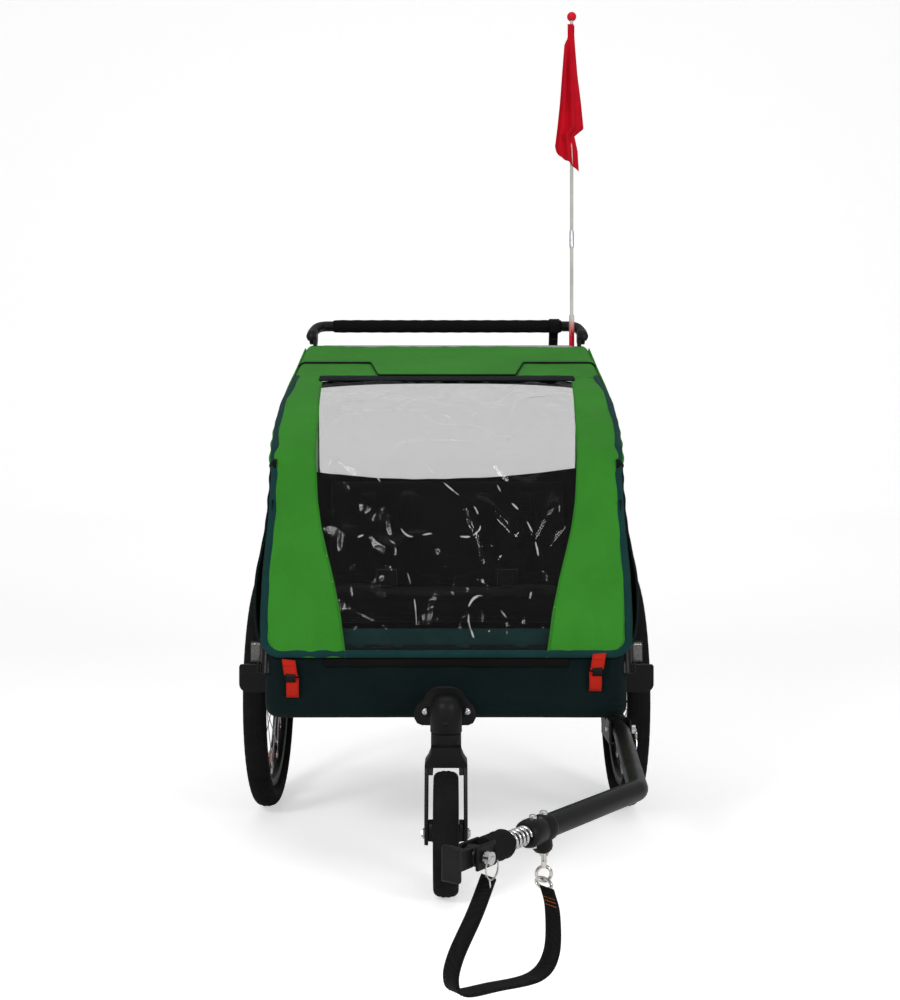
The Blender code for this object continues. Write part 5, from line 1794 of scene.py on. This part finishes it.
piece = turned("sleeve_shell", SLEEVE, TOW_BEND, TOW_DIRECTION, MAT["plastic"], 44)
rigid(piece, "drawbar", "black_plastic", "coupling_sleeve")
for distance, steps in ((0.2500, 28), (0.2745, 6)):
    name = f"sleeve_bolt_{int(distance * 10000)}"
    rigid(turned(name, BOLT, tow(distance), UP, MAT["steel"], steps), "drawbar", "bright_steel")
piece = turned("sleeve_saddle", SADDLE, tow(0.2530), UP, MAT["plastic"], 28)
rigid(piece, "drawbar", "black_plastic")
piece = turned("yoke_collar", YOKE_COLLAR, TOW_BEND, TOW_DIRECTION, MAT["rubber"])
rigid(piece, "hitch_yoke", "black_plastic", "hitch_yoke")
for side, asides in (("a", (0.0092, 0.0134)), ("b", (-0.0134, -0.0092))):
    name, lengths, heights = f"yoke_cheek_{side}", (0.3740, 0.4120), (-0.0140, 0.0140)
    piece = tow_block(name, lengths, asides, heights, MAT["plastic"], bevel=0.0018)
    rigid(piece, "hitch_yoke", "black_plastic")
piece = turned("hitch_eye", EYE, tow(0.4000), TOW_ACROSS, MAT["coat"], 36)
rigid(piece, "hitch_plate", "bright_steel", "hitch_plate")
# name, limits along, across and up, bevel
for name, *limits, bevel in (
    ("hitch_plate_neck", (0.4050, 0.4420), (-0.0050, 0.0050), (-0.0115, 0.0115), 0.0030),
    ("hitch_plate_end", (0.4400, 0.4470), (-0.0120, 0.0120), (-0.0200, 0.0200), 0.0025),
):
    rigid(tow_block(name, *limits, MAT["coat"], bevel), "hitch_plate", "bright_steel")

# the hitch pin's spring-wire ring and clip
RING_RADIUS = 0.0125
pin_at = tow(0.400, 0.0235)
line = []
for k in range(26):
    angle = math.radians(-20 + 320 * k / 25)
    point = pin_at + UP * (RING_RADIUS * math.cos(angle) - 0.0105)
    line.append(point + TOW_DIRECTION * RING_RADIUS * math.sin(angle) + TOW_ACROSS * 0.0006)
rigid(tube("hitch_pin_ring", line, 0.0011, MAT["nickel"], 8), "hitch_pin", "bright_steel")
line = [
    pin_at + UP * -0.022 + TOW_DIRECTION * 0.004,
    pin_at + UP * -0.034 + TOW_DIRECTION * 0.002,
    pin_at + UP * -0.044 - TOW_ACROSS * 0.004,
    pin_at + UP * -0.040 - TOW_ACROSS * 0.011,
]
piece = tube("hitch_pin_clip", smooth_path(line, 20), 0.0009, MAT["nickel"], 8)
rigid(piece, "hitch_pin", "bright_steel")

# ---- safety strap: hangs in a loop under the hitch and clips back to the bar ----
STRAP_LINE = [
    (0.0500, -1.295, 0.220), (0.0335, -1.338, 0.192), (0.0130, -1.368, 0.157),
    (0.0075, -1.380, 0.135), (0.0165, -1.370, 0.118), (0.052, -1.330, 0.109),
    (0.1020, -1.290, 0.106), (0.1225, -1.265, 0.124), (0.1265, -1.230, 0.160),
    (0.1225, -1.195, 0.178),
]
STRAP_ACROSS = Vector((0.62, -0.78, 0)).normalized()
strap_points = [place(*point) for point in STRAP_LINE]
strap_ends = (place(0.1205, -1.195, 0.178), place(0.045, -1.295, 0.220))  # hook, yoke
strap_fine = smooth_path(strap_points, 200)


def strap_normal(i):
    tangent = strap_fine[min(200, i + 1)] - strap_fine[max(0, i - 1)]
    return tangent.normalized().cross(STRAP_ACROSS)


piece = ribbon(
    "safety_strap_web", strap_points, STRAP_ACROSS, STRAP_WIDTH, MAT["web"], 0.0022, steps=110
)
flexible(piece, "webbing", *strap_ends, "safety_strap")
for k, aside in enumerate((0.0098, -0.0098)):
    line = [
        point + STRAP_ACROSS * aside + strap_normal(i) * 0.0013
        for i, point in enumerate(strap_fine)
    ]
    piece = stitches(
        f"safety_strap_edge_{k}", line[4:-4], MAT["black_cloth"],
        pitch=0.0060, length=0.0034, radius=0.00035,
    )
    flexible(piece, "webbing", *strap_ends)
tack = []  # three rows of stitches across each face, near the hook
for i in (184, 187, 190):
    for face in (1, -1):
        row = [
            strap_fine[i] + STRAP_ACROSS * aside + strap_normal(i) * 0.0015 * face
            for aside in spread(-0.0095, 0.0095, 6)
        ]
        tack += [[a, a.lerp(b, 0.65)] for a, b in zip(row, row[1:])]
piece = tubes("safety_strap_tack_hook", tack, 0.0005, MAT["orange_thread"], 5)
flexible(piece, "webbing", *strap_ends)

eye_at = place(0.120, -1.180, 0.1785)
line = [
    eye_at + (STRAP_ACROSS * math.cos(angle) * 0.0135 + UP * math.sin(angle) * 0.0062)
    for angle in circle(28)
]
piece = tube("snap_hook_eye", line, 0.0021, MAT["nickel"], closed=True)
rigid(piece, "drawbar", "bright_steel")
LANYARD = [
    (0.300, -0.5170, 0.2440), (0.3080, -0.5230, 0.2330), (0.3130, -0.5230, 0.2150),
    (0.3200, -0.5180, 0.2080), (0.3280, -0.5100, 0.2140), (0.3290, -0.5030, 0.2320),
]
line = smooth_path([place(*point) for point in LANYARD], 50)
rigid(tube("receiver_lanyard", line, 0.0011, MAT["steel"], 8), "chassis", "bright_steel")
line = [
    place(0.3286, -0.500 + 0.0095 * math.cos(angle), 0.2355 + 0.0095 * math.sin(angle))
    for angle in circle(24)
]
piece = tube("receiver_pin_ring", line, 0.0010, MAT["nickel"], 8, closed=True)
rigid(piece, "receiver_pin", "bright_steel")

# ---- orange-red tabs at the cover's lower corners ----
# each row: x from the tab's middle (outwards), y, z
PULL_TAB = [
    (0.004, -0.4795, 0.3640), (0.002, -0.4845, 0.3560), (0.0, -0.4850, 0.3430),
    (-0.001, -0.4815, 0.3370),
]
HOLD_TAB = [
    (-0.003, -0.4760, 0.3320), (-0.003, -0.4800, 0.3200), (-0.003, -0.4780, 0.3040),
    (-0.003, -0.4720, 0.2980),
]
TAB_HOOK = [
    (0.0, -0.4800, 0.3425), (0.0, -0.4850, 0.3380), (0.0, -0.4850, 0.3300),
    (0.0, -0.4800, 0.3265),
]


def corner_tabs(sign, side, middle, rise):
    """The pull tab on the cover, the tab on the tub below it, and the hook between."""
    def band(name, rows, across, width, material, thick):
        line = [place(middle + sign * x, y, z + rise) for x, y, z in rows]
        return ribbon(f"{name}_{side}", line, across, width, material, thick, steps=18)

    tilted, red = (1, 0, sign * 0.10), MAT["red_web"]
    piece = band("pull_tab", PULL_TAB, tilted, 0.0235, red, 0.0022)
    sewn(piece, "webbing", body="front_cover")
    piece = band("hold_tab", HOLD_TAB, (1, 0, 0), 0.0215, red, 0.0022)
    sewn(piece, "webbing", keep=0.75)
    piece = band("tab_hook", TAB_HOOK, (1, 0, 0), 0.0170, MAT["plastic"], 0.0030)
    sewn(piece, "webbing", body="front_cover")
    line = [
        place(middle + x + sign * 0.002, -0.4862, 0.3545 + rise) for x in (-0.0095, 0.0095)
    ]
    piece = stitches(
        f"pull_tab_stitch_{side}", line, MAT["black_cloth"], pitch=0.003, length=0.002
    )
    sewn(piece, "webbing", body="front_cover")


corner_tabs(1, "left", middle=0.2640, rise=0.0090)
corner_tabs(-1, "right", middle=-0.2720, rise=-0.0020)

# ---- flag ----
FLAG_X, FLAG_Y = 0.295, 0.328
BALL_RADIUS, BALL_Z = 0.0111, 1.7880
# (radius, z)
FERRULE = [
    (0.0040, 1.2400), (0.0052, 1.2405), (0.0054, 1.2440), (0.0054, 1.2760), (0.0052, 1.2795),
    (0.0040, 1.2800),
]
FLAG_SLEEVE = [
    (0.0042, 1.0000), (0.0062, 1.0008), (0.0064, 1.0040), (0.0060, 1.0760), (0.0056, 1.0795),
    (0.0042, 1.0805),
]
ball = [(0.0, 1.7768)]
for k in range(1, 14):
    angle = math.pi * k / 14
    ball.append((BALL_RADIUS * math.sin(angle), BALL_Z - BALL_RADIUS * math.cos(angle)))
ball.append((0.0, 1.7990))
# the pennant's -X and +X edges: share of the way down, x, z
PENNANT_LOW_X = [
    (0.0, 0.2846, 1.768), (0.095, 0.2846, 1.735), (0.14, 0.2770, 1.7186),
    (0.35, 0.2715, 1.650), (0.57, 0.2656, 1.574), (0.74, 0.2600, 1.520),
    (0.90, 0.2547, 1.4768), (1.0, 0.2573, 1.465),
]
PENNANT_HIGH_X = [
    (0.0, 0.2990, 1.768), (0.095, 0.3010, 1.737), (0.14, 0.3022, 1.720),
    (0.35, 0.3085, 1.650), (0.57, 0.3175, 1.580), (0.74, 0.3234, 1.5217),
    (0.80, 0.3016, 1.5038), (0.90, 0.3090, 1.4685), (1.0, 0.3118, 1.420),
]


def pennant_edge(table, share):
    x = interp([(down, x) for down, x, z in table], share)
    return x, interp([(down, z) for down, x, z in table], share)


def pennant(u, v):
    (x0, z0), (x1, z1) = pennant_edge(PENNANT_LOW_X, v), pennant_edge(PENNANT_HIGH_X, v)
    x, z = lerp(x0, x1, u), lerp(z0, z1, u)
    free = ease(v * 2.2)
    y = FLAG_Y - 0.0070 - 0.0060 * free * math.sin(math.tau * (u * 1.6 + 0.12 + 0.25 * v))
    y -= 0.0035 * free * math.sin(math.tau * (u * 3.3 + 0.4))
    return place(x, y + 0.0030 * ripple(x * 3, 0, z, 9, 4) * free, z)


def pennant_sleeve(u, v):
    angle = math.tau * u
    y = FLAG_Y + 0.0062 * math.sin(angle) + 0.0006 * ripple(u, v, 0, 5, 2)
    return place(FLAG_X + 0.0062 * math.cos(angle), y, lerp(1.700, 1.766, v))


at = place(FLAG_X, FLAG_Y, 0)
rigid(turned("flag_ferrule", FERRULE, at, UP, MAT["alu"], 20), "flag", "pole_fibreglass")
rigid(turned("flag_sleeve", FLAG_SLEEVE, at, UP, MAT["flag_plastic"], 20), "flag", "flag_red")
rigid(turned("flag_ball", ball, at, UP, MAT["flag_plastic"], 28), "flag", "flag_red")
piece = sheet("flag_pennant_cloth", pennant, 46, 90, MAT["flag"], 0.0008)
rigid(piece, "flag", "flag_red", "flag_pennant")
piece = sheet("flag_pennant_sleeve", pennant_sleeve, 20, 20, MAT["flag"], 0.0008, loop=True)
rigid(piece, "flag", "flag_red")

# ---- surfaces for the CAD nodes that stay visible ----
SHOWN = {
    "alu": ["base_frame", "axle_beam", "rear_hoop"],
    "plastic": ["floor_board", "handle_hub_left", "handle_hub_right", "flag_socket"],
    "coat": [
        "tow_receiver", "rear_hinge_left", "rear_hinge_right", "front_hinge_left",
        "front_hinge_right",
    ],
    "steel": ["receiver_pin", "hitch_pin"],
    "pole": ["flag_pole"],
    "nickel": ["snap_hook", "snap_trigger"],
}
for key, names in SHOWN.items():
    for name in names:
        materials = NODES[name].data.materials
        materials.clear()
        materials.append(MAT[key])
soft_edges(NODES["tow_receiver"], angle=math.radians(35))


# ---- stage ----
def studio_paper():
    """Pale paper that glows a little, only where the camera sees it directly."""
    material, tree, shader = new_material("studio_paper")
    set_inputs(shader, {
        "Base Color": (0.86, 0.86, 0.86, 1), "Roughness": 0.85, "Specular IOR Level": 0.2,
        "Emission Color": (1, 1, 1, 1),
    })
    seen = tree.nodes.new("ShaderNodeLightPath").outputs["Is Camera Ray"]
    glow = math_node(tree, "MULTIPLY", seen, 0.50)
    tree.links.new(glow, shader.inputs["Emission Strength"])
    return material


SWEEP_HALF = 7
# (y, z) where the floor curves up behind the trailer
SWEEP = [
    (3.2, -0.0005), (3.8, 0.03), (4.3, 0.18), (4.65, 0.50), (4.8, 1.0), (4.85, 4.5),
]
profile = [Vector((0, -6.0, -0.0005)), *yz_path(SWEEP, 40)]
verts = [Vector((x, point.y, point.z)) for point in profile for x in (-SWEEP_HALF, SWEEP_HALF)]
faces = [(k, k + 1, k + 3, k + 2) for k in range(0, len(verts) - 2, 2)]
make("studio_sweep", verts, faces, studio_paper())


def area_light(name, at, look, size, power):
    light = bpy.data.lights.new(name, "AREA")
    light.shape = "RECTANGLE"
    light.size = size
    light.size_y = size
    light.energy = power
    light.color = (1, 1, 1)
    made = bpy.data.objects.new(name, light)
    bpy.context.scene.collection.objects.link(made)
    made.location = at
    made.rotation_euler = (Vector(look) - Vector(at)).to_track_quat("-Z", "Y").to_euler()


area_light("key", at=(-1.9, -3.0, 2.5), look=(0, 0.3, 0.5), size=0.9, power=58)
area_light("fill", at=(2.4, -2.8, 1.7), look=(0, 0.2, 0.5), size=1.1, power=42)
area_light("top", at=(0.0, 0.4, 3.6), look=(0, 0.4, 0.4), size=3.0, power=18)

scene = bpy.context.scene
world = bpy.data.worlds.new("studio")
world.use_nodes = True
set_inputs(world.node_tree.nodes["Background"], {"Color": (1, 1, 1, 1), "Strength": 0.42})
scene.world = world
scene.view_settings.view_transform = "Standard"

lens = bpy.data.cameras.new("camera")
lens.sensor_fit = "VERTICAL"
lens.sensor_height = 36.0
lens.lens = 46.728
lens.clip_end = 50
camera = bpy.data.objects.new("camera", lens)
scene.collection.objects.link(camera)
camera.location = place(0.0065, -2.75, 0.642)
camera.rotation_euler = (math.radians(90), 0, 0)
scene.camera = camera
